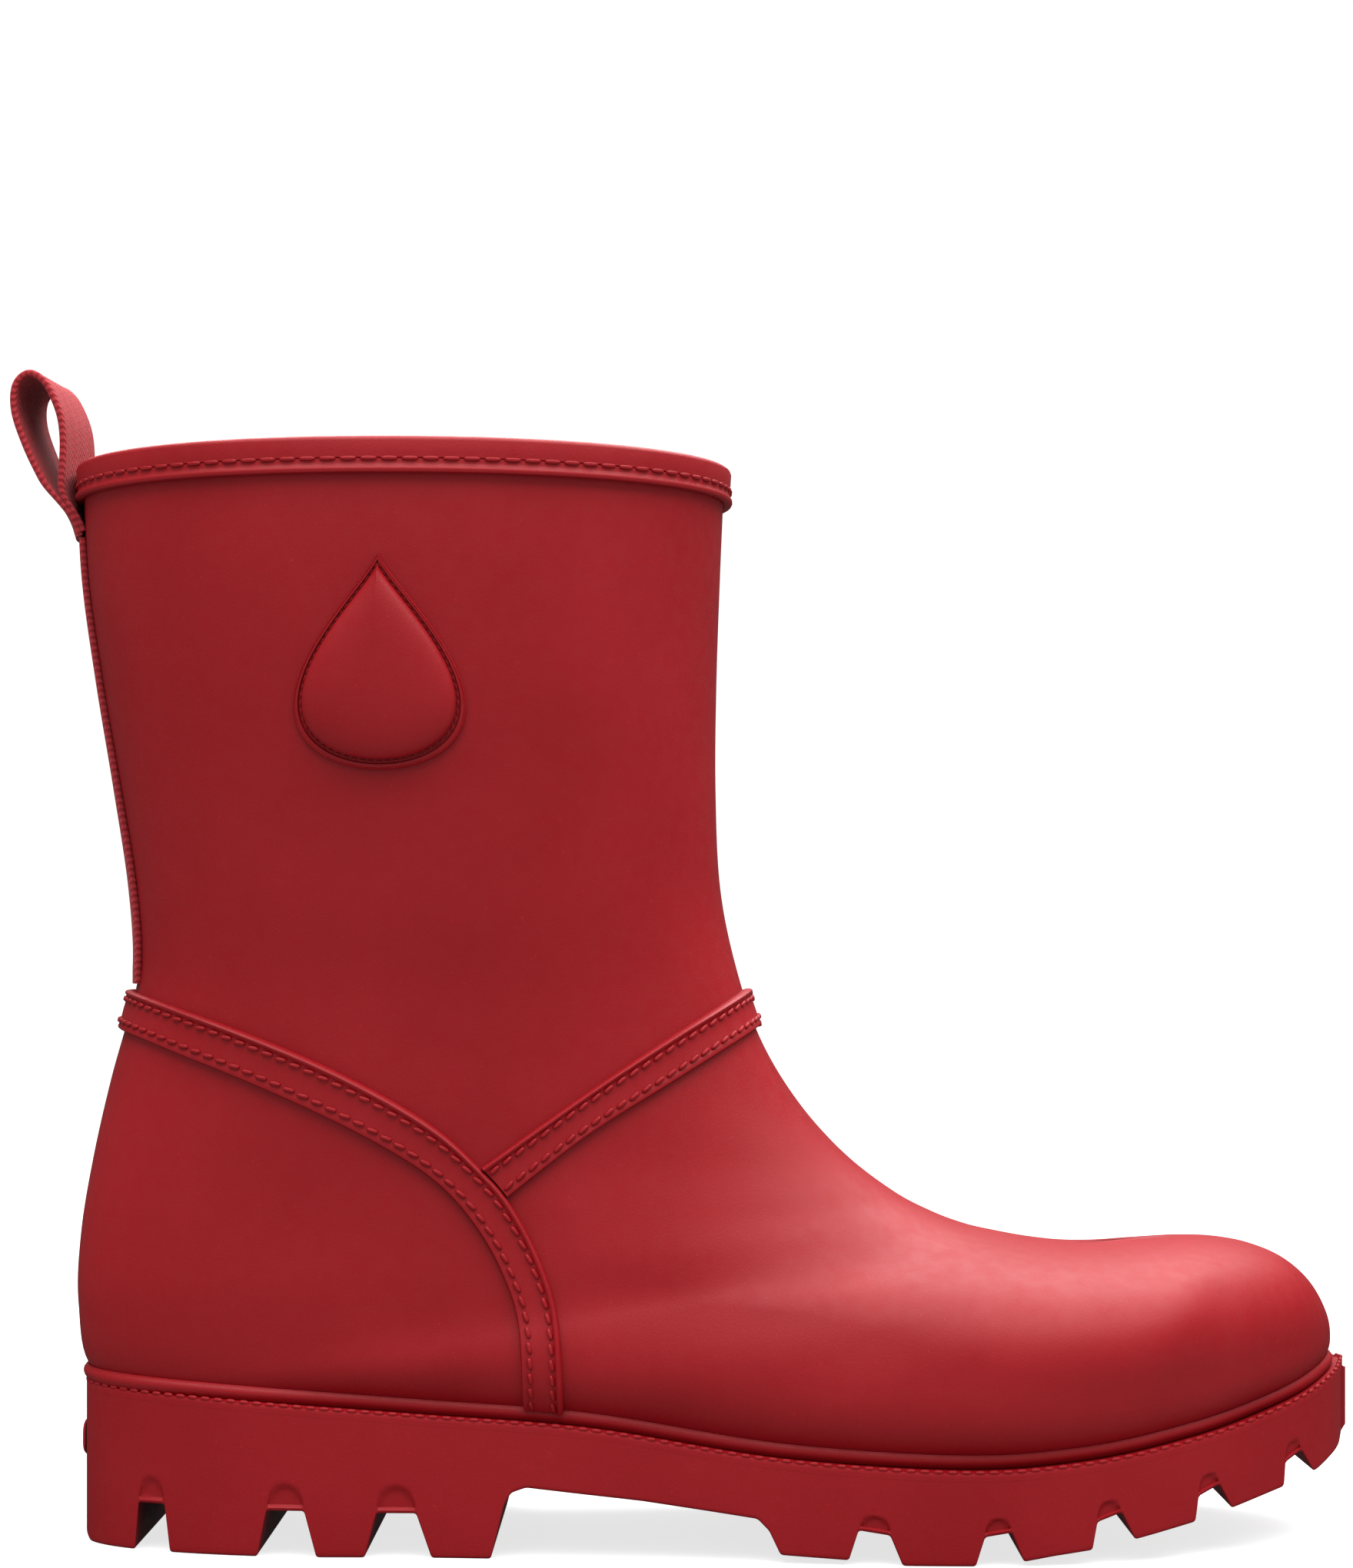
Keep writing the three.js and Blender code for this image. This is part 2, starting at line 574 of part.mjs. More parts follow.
function shank() {
  return mesh('shank', shankHollow(0), 0x8f9398, 0.35, 0.9);
}

// ---------------------------------------------------------------- the boot

const boot = new THREE.Group();
boot.name = 'rain_boot';
boot.add(
  upperShell(), sockLining(), toePuff(), heelCounter(), insoleBoard(), footbed(), footbedCover(),
  collarBand(), collarBead(), counterStrap(), instepStrap(), emblemBase(), emblemCushion(),
  backstayWebbing(), pullLoop(),
  randBead(), welt(), outsole(), heelTab(), heelFiller(), forefootFiller(), shank(),
);
boot.position.x = -HEEL_CENTRE;

export default boot;
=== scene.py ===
import math

import bmesh
import bpy
import numpy as np
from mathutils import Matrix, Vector


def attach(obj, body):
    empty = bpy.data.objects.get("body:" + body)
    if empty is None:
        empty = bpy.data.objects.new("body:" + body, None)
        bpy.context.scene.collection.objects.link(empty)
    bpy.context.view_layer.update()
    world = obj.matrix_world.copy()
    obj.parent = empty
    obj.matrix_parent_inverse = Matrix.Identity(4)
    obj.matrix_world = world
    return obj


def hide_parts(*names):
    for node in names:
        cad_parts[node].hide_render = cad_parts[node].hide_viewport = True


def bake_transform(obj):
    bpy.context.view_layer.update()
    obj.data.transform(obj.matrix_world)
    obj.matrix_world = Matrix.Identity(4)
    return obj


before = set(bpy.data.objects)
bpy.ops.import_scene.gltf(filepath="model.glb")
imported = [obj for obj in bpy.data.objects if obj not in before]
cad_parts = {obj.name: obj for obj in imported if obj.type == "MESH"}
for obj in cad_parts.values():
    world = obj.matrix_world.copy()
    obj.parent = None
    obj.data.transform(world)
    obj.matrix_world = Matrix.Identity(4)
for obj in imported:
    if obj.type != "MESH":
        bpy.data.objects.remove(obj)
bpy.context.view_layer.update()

HEEL_CENTRE = 35
SHAFT_TOP = 241.6
GAP = 0.3
WALL = 2.4
LINING = 1
STIFFENER = 1.3
STIFFENER_TOP = 92
STIFFENER_FADE = 24
WEBBING = 1.4
WEBBING_WIDTH = 25
WELT = 2
FLANGE = 3.2
HEEL_FLANGE = 0.6
RAND = 3.4

# The slices that the upper is lofted through, as in the part's source. Columns: the back point's x and z,
# the front point's x and z, half-width, sideways shift of the middle, where along the slice it is widest,
# and how square it is below and above that.
SLICES = np.array([
    (-0.3, SHAFT_TOP, 146.4, SHAFT_TOP, 56, 0, 0.5, 2.1, 2.1),
    (0.7, 218, 145.4, 218, 55, 0, 0.5, 2.1, 2.1),
    (3.9, 194, 144.6, 194, 52.5, 0, 0.5, 2.1, 2.1),
    (7.8, 170, 144.4, 170, 49, 0, 0.5, 2.1, 2.1),
    (11.2, 147, 145.5, 147, 45.5, 0, 0.5, 2.1, 2.1),
    (12.2, 129, 149.4, 128, 42.5, 0, 0.5, 2.2, 2.1),
    (9.6, 117, 155, 112, 41, 0, 0.5, 2.3, 2.1),
    (5.9, 103.5, 163.5, 98, 40, 0, 0.5, 2.4, 2.1),
    (2.1, 86.3, 174, 86.3, 39, 0, 0.5, 2.6, 2.2),
    (-0.5, 69, 185.3, 77.6, 38.5, -0.5, 0.55, 2.9, 2.2),
    (-0.8, 53, 194, 73, 38.5, -1, 0.6, 3.2, 2.2),
    (2.5, 38, 202, 70, 39, -1, 0.65, 3.2, 2.2),
    (18, 31.5, 209, 68.4, 40, -1.5, 0.65, 3.1, 2.2),
    (60, 29, 217, 67, 41.3, -2.5, 0.65, 3, 2.2),
    (110, 25, 225, 66.2, 43.8, -3.5, 0.6, 2.9, 2.2),
    (155, 19.5, 233, 66.2, 47, -3.5, 0.52, 3.2, 2.2),
    (195, 18, 242, 66.8, 48.4, -2.5, 0.45, 3.7, 2.2),
    (225, 20.5, 251.5, 67.2, 46.6, -0.5, 0.42, 4, 2.2),
    (248, 25, 260, 66.8, 40.5, 2, 0.4, 4, 2.2),
    (264, 29.5, 268, 65.2, 33.5, 4, 0.4, 3.6, 2.2),
    (275, 33, 275.5, 62, 25.8, 5.5, 0.42, 3.2, 2.2),
    (282.3, 36.8, 281.5, 56.8, 16.5, 6.5, 0.45, 2.8, 2.2),
    (285.8, 40.2, 285.4, 50, 8, 7, 0.5, 2.4, 2.2),
    (286.6, 44.5, 286.6, 44.5, 0, 7, 0.5, 2.2, 2.2),
])
TOE = len(SLICES) - 1
FOOT_START = 12  # the slice from which the back points run forward under the foot


def place(points):
    """Millimetres from the back of the sole to metres in the frame."""
    return (np.asarray(points, float) - (HEEL_CENTRE, 0, 0)) / 1000


# ------------------------------------------------------------------ the upper's skin

def slices_at(at):
    """Smooth values between the slices, at slice numbers that need not be whole."""
    at = np.clip(np.asarray(at, float), 0, TOE)
    first = np.minimum(at.astype(int), TOE - 1)
    part = (at - first)[..., None]
    a, b, c, d = (SLICES[np.clip(first + step, 0, TOE)] for step in (-1, 0, 1, 2))
    start, end = (c - a) / 2, (d - b) / 2
    return b + part * (start + part * (3 * (c - b) - 2 * start - end + part * (2 * (b - c) + start + end)))


def skin_point(at, turn):
    """A point of the skin. turn is 0 at a slice's back and pi at its front, negative on the outer side."""
    at, turn = np.broadcast_arrays(np.asarray(at, float), np.asarray(turn, float))
    s = slices_at(at)
    low = np.cos(turn) > 0
    power = 2 / np.where(low, s[..., 7], s[..., 8])
    reach = np.abs(np.cos(turn)) ** power
    widest = s[..., 6]
    along = np.where(low, widest * (1 - reach), widest + (1 - widest) * reach)
    side = np.sign(turn) * s[..., 4] * np.abs(np.sin(turn)) ** power
    return np.stack([
        s[..., 0] + along * (s[..., 2] - s[..., 0]),
        s[..., 5] + side,
        s[..., 1] + along * (s[..., 3] - s[..., 1]),
    ], axis=-1)


def skin_normal(at, turn):
    step = 0.02
    around = skin_point(at, turn + step) - skin_point(at, turn - step)
    down = skin_point(np.minimum(at + step, TOE), turn) - skin_point(np.maximum(at - step, 0), turn)
    normal = np.cross(around, down)
    size = np.linalg.norm(normal, axis=-1, keepdims=True)
    return np.where(size > 1e-9, normal / np.maximum(size, 1e-9), (1.0, 0.0, 0.0))


def skin(at, turn, lift=0.0):
    """A point that stands `lift` out from the skin."""
    at, turn, lift = np.broadcast_arrays(np.asarray(at, float), np.asarray(turn, float),
                                         np.asarray(lift, float))
    return skin_point(at, turn) + skin_normal(at, turn) * lift[..., None]


def locate(x, z):
    """The slice number and the share of the way along it of a place in the side view."""
    x, z = np.broadcast_arrays(np.asarray(x, float), np.asarray(z, float))
    above, below = np.zeros(x.shape), np.full(x.shape, float(TOE))
    for _ in range(34):
        middle = (above + below) / 2
        s = slices_at(middle)
        cross = (s[..., 2] - s[..., 0]) * (z - s[..., 1]) - (s[..., 3] - s[..., 1]) * (x - s[..., 0])
        above = np.where(cross < 0, middle, above)
        below = np.where(cross < 0, below, middle)
    s = slices_at(above)
    run = np.stack([s[..., 2] - s[..., 0], s[..., 3] - s[..., 1]], axis=-1)
    out = np.stack([x - s[..., 0], z - s[..., 1]], axis=-1)
    return above, (run * out).sum(-1) / (run ** 2).sum(-1)


def turn_at(at, along):
    """How far round the skin a share of the way along a slice is, from 0 to pi."""
    s = slices_at(at)
    along = np.clip(along, 0, 1)
    widest = s[..., 6]
    low = np.arccos(np.clip(1 - along / widest, 0, 1) ** (s[..., 7] / 2))
    high = np.pi - np.arccos(np.clip((along - widest) / (1 - widest), 0, 1) ** (s[..., 8] / 2))
    return np.where(along < widest, low, high)


def drape(x, z, lift=0.0, side=-1):
    """Side-view places laid on one side of the skin: -1 is the outer side, 1 the inner one."""
    at, along = locate(x, z)
    return skin(at, side * turn_at(at, along), lift)


# ------------------------------------------------------------------ curves and meshes

def smooth_line(points, count, closed=False):
    """A Catmull-Rom line through points, sampled evenly in its own parameter."""
    points = np.asarray(points, float)
    if closed:
        ends = np.vstack([points[-1], points, points[0], points[1]])
    else:
        ends = np.vstack([2 * points[0] - points[1], points, 2 * points[-1] - points[-2]])
    spans = len(ends) - 3
    t = np.linspace(0, spans, count, endpoint=not closed)
    first = np.minimum(t.astype(int), spans - 1)
    part = (t - first)[:, None]
    a, b, c, d = (ends[first + step] for step in (0, 1, 2, 3))
    start, end = (c - a) / 2, (d - b) / 2
    return b + part * (start + part * (3 * (c - b) - 2 * start - end + part * (2 * (b - c) + start + end)))


def even(values, points, count, closed=False):
    """`values` along a line of `points`, taken again at even distances."""
    steps = np.linalg.norm(np.diff(points, axis=0), axis=1)
    far = np.concatenate([[0], np.cumsum(steps)])
    wanted = np.linspace(0, far[-1], count, endpoint=not closed)
    return np.stack([np.interp(wanted, far, column) for column in np.asarray(values).T], axis=-1)


def length_of(points):
    return float(np.linalg.norm(np.diff(points, axis=0), axis=1).sum())


def grid_faces(rows, columns, close_rows=False, close_columns=False, first=0):
    r = np.arange(rows if close_rows else rows - 1)
    c = np.arange(columns if close_columns else columns - 1)
    r, c = (a.ravel() for a in np.meshgrid(r, c, indexing="ij"))
    r2, c2 = (r + 1) % rows, (c + 1) % columns
    return (first + np.stack([r * columns + c, r * columns + c2, r2 * columns + c2, r2 * columns + c],
                             1)).tolist()


def new_piece(name, points, faces, material, slot, replaces=(), body="boot", sharp=40):
    """A mesh in the frame, from points in millimetres, which rides on a body."""
    mesh = bpy.data.meshes.new(name)
    mesh.from_pydata(place(points).tolist(), [], faces)
    mesh.validate()
    return finish_piece(name, mesh, material, replaces, body, sharp)


def finish_piece(name, mesh, material, replaces=(), body="boot", sharp=40):
    bm = bmesh.new()
    bm.from_mesh(mesh)
    bmesh.ops.recalc_face_normals(bm, faces=bm.faces)
    bm.to_mesh(mesh)
    bm.free()
    mesh.shade_smooth()
    mesh.set_sharp_from_angle(angle=math.radians(sharp))
    piece = bpy.data.objects.new(name, mesh)
    bpy.context.scene.collection.objects.link(piece)
    piece.data.materials.clear()
    piece.data.materials.append(material)
    if body:
        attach(piece, body)
    if replaces:
        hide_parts(*replaces)
    return piece


# ------------------------------------------------------------------ the line where upper and sole meet

RIM = [(-8, 36.6), (40, 33.8), (80, 31), (115, 28.6), (156, 22.6), (197, 20.3), (222, 21.7), (244, 25.1),
       (262, 29), (280, 34.6), (298, 43)]  # the sole's top edge
RIM_LINE = smooth_line(RIM, 200)


def rim_height(x):
    return np.interp(x, RIM_LINE[:, 0], RIM_LINE[:, 1])


def underside_slice(low, high, rise):
    """The slice whose back point is `rise` above the sole's edge line, between two slice numbers."""
    numbers = np.linspace(low, high, 2000)
    s = slices_at(numbers)
    return numbers[np.argmin(np.abs(s[:, 1] - rim_height(s[:, 0]) - rise))]


def foot_line(rise, count=480):
    """Slice numbers and turns of a line round the foot, `rise` above the sole's edge, evenly spaced."""
    back = slices_at(underside_slice(9.5, FOOT_START, rise))[0]
    front = slices_at(underside_slice(20.5, 22.9, rise))[0]
    x = back + (front - back) * (1 - np.cos(np.linspace(0, np.pi, 700))) / 2
    at, along = locate(x, rim_height(x) + rise)
    turn = turn_at(at, along)
    turn[[0, -1]] = 0
    at = np.concatenate([at, at[::-1][1:]])
    turn = np.concatenate([-turn, turn[::-1][1:]])
    values = np.stack([at, turn], 1)
    return even(values, skin_point(at, turn), count, closed=True)


def round_foot(profile, count=480):
    """Sections round the foot. The profile is [rise over the sole's edge, lift off the skin] points."""
    lines = [skin(*foot_line(rise, count).T, lift) for rise, lift in profile]
    return np.stack(lines, axis=1)


def foot_outline(steps=28, count=900):
    """The upper's plan where it meets the sole, evenly spaced from the back along the outer side."""
    i = np.arange(2 * steps)
    back, front = skin_point(10.9, 0)[0], skin_point(TOE, 0)[0]
    x = back + (front - back) * (1 - np.cos(np.pi * i / steps)) / 2
    at, along = locate(x, rim_height(x) + RAND)
    s = slices_at(at)
    turn = turn_at(at, np.abs(along))
    side = np.abs(skin_point(at, turn)[:, 1] - s[:, 5])
    y = s[:, 5] + np.where(i % steps, np.where(i < steps, -side, side), 0)
    line = smooth_line(np.stack([x, y], 1), 4000, closed=True)
    return even(line, line, count, closed=True)


OUTLINE = foot_outline()


def foot_plan(out):
    """The upper's plan moved out by `out`, which may depend on x."""
    ahead = np.roll(OUTLINE, -3, axis=0) - np.roll(OUTLINE, 3, axis=0)
    ahead /= np.linalg.norm(ahead, axis=1, keepdims=True)
    distance = out(OUTLINE[:, 0]) if callable(out) else out
    away = np.stack([ahead[:, 1], -ahead[:, 0]], 1)
    return OUTLINE + away * np.broadcast_to(distance, len(OUTLINE))[:, None]


def flange(x):
    """How far the sole stands out past the upper."""
    part = np.clip(x / 60, 0, 1)
    return HEEL_FLANGE + (FLANGE - HEEL_FLANGE) * part * part * (3 - 2 * part)


def round_plan(profile):
    """Sections round the sole's edge. The profile is [out from the sole's edge, rise over it] points."""
    rings = []
    for out, rise in profile:
        plan = foot_plan(lambda x, out=out: flange(x) + out)
        rings.append(np.column_stack([plan, rim_height(plan[:, 0]) + rise]))
    return np.stack(rings, axis=1)


# ------------------------------------------------------------------ stitches

def stitches(centres, ahead, up, length, width, height, slant=0.0):
    """Points and faces of raised stitches: low pills that lie along `ahead` and stand up along `up`."""
    sides = 12
    around = np.linspace(0, 2 * np.pi, sides, endpoint=False)
    foot = np.stack([np.cos(around), np.sin(around)], 1)
    foot = np.sign(foot) * np.abs(foot) ** 0.7 * (length / 2, width / 2)
    levels = [(1, -0.25), (1, 0.25), (0.93, 0.62), (0.72, 0.9), (0.38, 1)]
    pill = np.concatenate([np.column_stack([foot * share, np.full(sides, height * rise)])
                           for share, rise in levels])
    pill = np.vstack([pill, (0, 0, height * 1.02)])
    faces = grid_faces(len(levels), sides, close_columns=True)
    top = (len(levels) - 1) * sides
    faces += [(top + j, top + (j + 1) % sides, len(pill) - 1) for j in range(sides)]
    up = up / np.linalg.norm(up, axis=1, keepdims=True)
    ahead = ahead - up * (ahead * up).sum(1, keepdims=True)
    ahead /= np.linalg.norm(ahead, axis=1, keepdims=True)
    side = np.cross(up, ahead)
    cos, sin = math.cos(slant), math.sin(slant)
    ahead, side = ahead * cos + side * sin, side * cos - ahead * sin
    axes = np.stack([ahead, side, up], axis=1)
    points = centres[:, None] + np.einsum("pk,nkc->npc", pill, axes)
    faces = np.array([list(f) + [-1] * (4 - len(f)) for f in faces])
    everyone = [[index + i * len(pill) for index in face if index >= 0] for i in range(len(centres))
                for face in faces]
    return points.reshape(-1, 3), everyone


def stitch_row(line, up, pitch, closed=False, **size):
    """Stitches at an even pitch along a line of points whose surface faces `up`."""
    if closed:
        line, up = np.vstack([line, line[:1]]), np.vstack([up, up[:1]])
    number = int(round(length_of(line) / pitch))
    places = even(np.hstack([line, up]), line, 2 * number + 1)
    odd = places[1::2]
    ahead = places[2::2, :3] - places[:-1:2, :3]
    return stitches(odd[:, :3], ahead, odd[:, 3:], **size)


def joined(parts):
    """Several (points, faces) as one."""
    points, faces, first = [], [], 0
    for more, such in parts:
        points.append(np.asarray(more).reshape(-1, 3))
        faces += [[index + first for index in face] for face in such]
        first += len(points[-1])
    return np.vstack(points), faces


def bar(sections, ring=False):
    """Points and faces of a closed solid through sections of equal point counts, with flat ends or a ring."""
    rows, columns, _ = sections.shape
    faces = grid_faces(rows, columns, close_rows=ring, close_columns=True)
    if not ring:
        faces.append(list(range(columns))[::-1])
        faces.append([(rows - 1) * columns + j for j in range(columns)])
    return sections.reshape(-1, 3), faces


# ------------------------------------------------------------------ materials

class Paint:
    """A node material under construction. Its textures are placed in the frame, in metres."""

    def __init__(self, name, roughness, specular=0.5, metallic=0.0):
        self.material = bpy.data.materials.new(name)
        self.material.use_nodes = True
        self.shader = self.material.node_tree.nodes["Principled BSDF"]
        self.shader.inputs["Roughness"].default_value = roughness
        self.shader.inputs["Specular IOR Level"].default_value = specular
        self.shader.inputs["Metallic"].default_value = metallic
        self.position = self.node("ShaderNodeTexCoord").outputs["Object"]

    def node(self, kind, **settings):
        made = self.material.node_tree.nodes.new(kind)
        for name, value in settings.items():
            setattr(made, name, value)
        return made

    def put(self, value, socket):
        """Links a socket to an input, or sets the input to a value."""
        if isinstance(value, bpy.types.NodeSocket):
            self.material.node_tree.links.new(value, socket)
        else:
            socket.default_value = value

    def math(self, operation, *values):
        made = self.node("ShaderNodeMath", operation=operation)
        for value, socket in zip(values, made.inputs):
            self.put(value, socket)
        return made.outputs[0]

    def noise(self, scale, detail=3.0, rough=0.5, position=None):
        made = self.node("ShaderNodeTexNoise")
        self.put(position or self.position, made.inputs["Vector"])
        for name, value in (("Scale", scale), ("Detail", detail), ("Roughness", rough)):
            made.inputs[name].default_value = value
        return made.outputs["Fac"]

    def spread(self, value, low, high, to_low=0.0, to_high=1.0):
        """`value` from between low and high to between two other values."""
        made = self.node("ShaderNodeMapRange")
        for name, number in (("From Min", low), ("From Max", high), ("To Min", to_low), ("To Max", to_high)):
            made.inputs[name].default_value = number
        self.put(value, made.inputs["Value"])
        return made.outputs["Result"]

    def mix(self, factor, a, b):
        made = self.node("ShaderNodeMix", data_type="RGBA")
        self.put(factor, made.inputs["Factor"])
        for value, socket in ((a, made.inputs[6]), (b, made.inputs[7])):
            self.put(value if isinstance(value, bpy.types.NodeSocket) else (*value, 1), socket)
        return made.outputs[2]

    def bump(self, height, distance, strength=1.0, under=None):
        """A bump of `distance` metres; `under` is the bump it lies on."""
        made = self.node("ShaderNodeBump")
        made.inputs["Strength"].default_value = strength
        made.inputs["Distance"].default_value = distance
        self.put(height, made.inputs["Height"])
        if under:
            self.put(under, made.inputs["Normal"])
        return made.outputs["Normal"]

    def finish(self, colour, normal=None, roughness=None):
        self.put(colour if isinstance(colour, bpy.types.NodeSocket) else (*colour, 1),
                 self.shader.inputs["Base Color"])
        if normal:
            self.put(normal, self.shader.inputs["Normal"])
        if roughness:
            self.put(roughness, self.shader.inputs["Roughness"])
        return self.material


def rubber(name, deep, bright, roughness, specular, scuffs):
    """Moulded rubber: a fine grain over slow waves, patches of a slightly other red, and pale scuffs."""
    paint = Paint(name, roughness, specular)
    patches = paint.noise(22, 3)
    colour = paint.mix(paint.spread(patches, 0.35, 0.65), deep, bright)
    specks = paint.spread(paint.noise(1100, 2), 0.7, 0.78, 0, 0.25)
    colour = paint.mix(specks, colour, [2.2 * c for c in bright])
    marks = paint.math("MULTIPLY", paint.spread(paint.noise(160, 6, 0.7), 0.58, 0.72),
                       paint.spread(patches, 0.5, 0.7))
    colour = paint.mix(paint.math("MULTIPLY", marks, scuffs), colour, [2 * c + 0.02 for c in bright])
    waves = paint.bump(paint.noise(40, 1), 0.00012)
    grain = paint.bump(paint.noise(2200, 3, 0.65), 0.00005, under=waves)
    rough = paint.spread(paint.noise(300, 3), 0.3, 0.7, roughness - 0.05, roughness + 0.05)
    return paint.finish(colour, grain, rough)


def webbing_cloth():
    """Herringbone webbing, with painted shade in the hollows of its weave. The weave attribute holds each
    point's place on it: across and along, in mm.
    """
    paint = Paint("red_webbing", 0.85, 0.3)
    paint.shader.inputs["Sheen Weight"].default_value = 0.12
    paint.shader.inputs["Sheen Tint"].default_value = (1, 0.3, 0.3, 1)
    place = paint.node("ShaderNodeAttribute", attribute_name="weave")
    parts = paint.node("ShaderNodeSeparateXYZ")
    paint.put(place.outputs["Vector"], parts.inputs[0])
    across, along = parts.outputs[0], parts.outputs[1]
    zigzag = paint.math("PINGPONG", across, 3.1)
    slanted = paint.math("ADD", paint.math("MULTIPLY", along, 1.0), zigzag)
    ribs = paint.math("SINE", paint.math("MULTIPLY", slanted, 2 * math.pi / 1.5))
    threads = paint.math("SINE", paint.math("MULTIPLY", across, 2 * math.pi / 0.62))
    weave = paint.math("ADD", ribs, paint.math("MULTIPLY", threads, 0.45))
    fuzz = paint.noise(2600, 4, 0.7)
    height = paint.math("ADD", weave, paint.math("MULTIPLY", fuzz, 1.2))
    # Painted shade: the colour is darker where the weave is low, in its hollows, with random tone from the
    # fuzz.
    weave_shade_and_fuzz = paint.spread(height, -1.2, 2.2)
    colour = paint.mix(weave_shade_and_fuzz, (0.14, 0.002, 0.005), (0.27, 0.01, 0.016))
    return paint.finish(colour, paint.bump(height, 0.00009))


def knit_cloth():
    """The lining: fine knitted ribs that run down the leg, with painted shade between them."""
    paint = Paint("lining_knit", 0.95, 0.2)
    paint.shader.inputs["Sheen Weight"].default_value = 0.5
    parts = paint.node("ShaderNodeSeparateXYZ")
    paint.put(paint.position, parts.inputs[0])
    turn = paint.math("ARCTAN2", parts.outputs[1], paint.math("SUBTRACT", parts.outputs[0], 0.038))
    ribs = paint.math("SINE", paint.math("MULTIPLY", turn, 150.0))
    rows = paint.math("SINE", paint.math("MULTIPLY", parts.outputs[2], 2 * math.pi / 0.0016))
    height = paint.math("ADD", paint.math("MULTIPLY", ribs, rows),
                        paint.math("MULTIPLY", paint.noise(1800, 4), 0.8))
    # Painted shade: the colour is darker where the knit is low, between its ribs and rows, with random tone
    # from the noise.
    colour = paint.mix(paint.spread(height, -0.8, 1.6), (0.07, 0.004, 0.007), (0.19, 0.012, 0.018))
    return paint.finish(colour, paint.bump(height, 0.00022))


def footbed_cloth():
    """The footbed's cover: a brushed plain weave, with painted shade in its hollows."""
    paint = Paint("footbed_cloth", 0.9, 0.2)
    parts = paint.node("ShaderNodeSeparateXYZ")
    paint.put(paint.position, parts.inputs[0])
    waves = [paint.math("SINE", paint.math("MULTIPLY", parts.outputs[axis], 2 * math.pi / 0.0011))
             for axis in (0, 1)]
    height = paint.math("ADD", paint.math("MULTIPLY", *waves), paint.noise(1500, 4))
    # Painted shade: the colour is darker where the weave is low, in its hollows, with random tone from the
    # noise.
    colour = paint.mix(paint.spread(height, -0.6, 1.6), (0.09, 0.006, 0.01), (0.24, 0.02, 0.028))
    return paint.finish(colour, paint.bump(height, 0.0002))


def plain(name, dark, light, scale, bump, roughness, stretch=(1, 1, 1), metallic=0.0):
    """A grained material for what lies inside: foam, cork, board or brushed steel."""
    paint = Paint(name, roughness, 0.3, metallic)
    mapping = paint.node("ShaderNodeMapping")
    mapping.inputs["Scale"].default_value = stretch
    paint.put(paint.position, mapping.inputs["Vector"])
    grain = paint.noise(scale, 5, 0.65, mapping.outputs["Vector"])
    colour = paint.mix(paint.spread(grain, 0.3, 0.7), dark, light)
    return paint.finish(colour, paint.bump(grain, bump),
                        paint.spread(grain, 0.2, 0.8, roughness, roughness + 0.08))


RED_RUBBER = rubber("red_rubber", (0.19, 0.0015, 0.004), (0.21, 0.003, 0.006), 0.5, 0.2, 0.05)
SOLE_RUBBER = rubber("sole_rubber", (0.185, 0.0015, 0.004), (0.205, 0.003, 0.006), 0.52, 0.17, 0.1)
WEBBING_CLOTH = webbing_cloth()
KNIT = knit_cloth()
FOOTBED_CLOTH = footbed_cloth()
FOAM = plain("foam", (0.035, 0.035, 0.038), (0.06, 0.06, 0.064), 1400, 0.0002, 0.9)
BOARD = plain("fibreboard", (0.3, 0.2, 0.1), (0.5, 0.36, 0.2), 500, 0.00008, 0.85, (1, 4, 4))
STIFF = plain("stiffener_sheet", (0.42, 0.37, 0.28), (0.6, 0.55, 0.44), 900, 0.00006, 0.8)
CORK = plain("cork", (0.2, 0.1, 0.04), (0.55, 0.34, 0.16), 420, 0.0002, 0.9)
HEEL_FOAM = plain("heel_foam", (0.1, 0.09, 0.075), (0.18, 0.17, 0.15), 1100, 0.0002, 0.9)
STEEL = plain("brushed_steel", (0.36, 0.37, 0.39), (0.56, 0.57, 0.6), 900, 0.00002, 0.3, (1, 12, 12), 1.0)


def red_piece(name, shape, node):
    """A piece in the upper's rubber, from its points and faces."""
    return new_piece(name, *shape, RED_RUBBER, "red_rubber", [node])


# ------------------------------------------------------------------ upper, lining and collar

AROUND = np.linspace(-np.pi, np.pi, 144, endpoint=False)


def shell_rings(depth, count, last=TOE - 0.25):
    """Rings down the upper, `depth` inside its skin, closed by a point at the toe."""
    at = np.linspace(0, last, count)
    points = skin_point(at[:, None], AROUND[None])
    inside = depth(points[..., 2]) if callable(depth) else depth
    points = points - skin_normal(at[:, None], AROUND[None]) * np.broadcast_to(inside,
                                                                               points.shape[:2])[..., None]
    points[0, :, 2] = SHAFT_TOP
    return points


def double_wall(outer_depth, inner_depth, count):
    """Points and faces of a wall between two depths inside the skin, open at the top."""
    outer, inner = shell_rings(outer_depth, count), shell_rings(inner_depth, count)
    columns = len(AROUND)
    tip = skin_point(TOE, 0.0)
    tips = [tip - (float(depth(tip[2])) if callable(depth) else depth, 0, 0)
            for depth in (outer_depth, inner_depth)]
    points = np.vstack([outer.reshape(-1, 3), inner.reshape(-1, 3), tips])
    faces = grid_faces(count, columns, close_columns=True)
    faces += grid_faces(count, columns, close_columns=True, first=count * columns)
    for j in range(columns):
        after = (j + 1) % columns
        faces.append((j, after, count * columns + after, count * columns + j))
        for wall in (0, 1):
            last = (wall * count + count - 1) * columns
            faces.append((last + j, last + after, len(points) - 2 + wall))
    return points, faces


def upper_shell():
    points, faces = double_wall(0, WALL, 200)
    return red_piece("upper_rubber", (points, faces), "upper_shell")


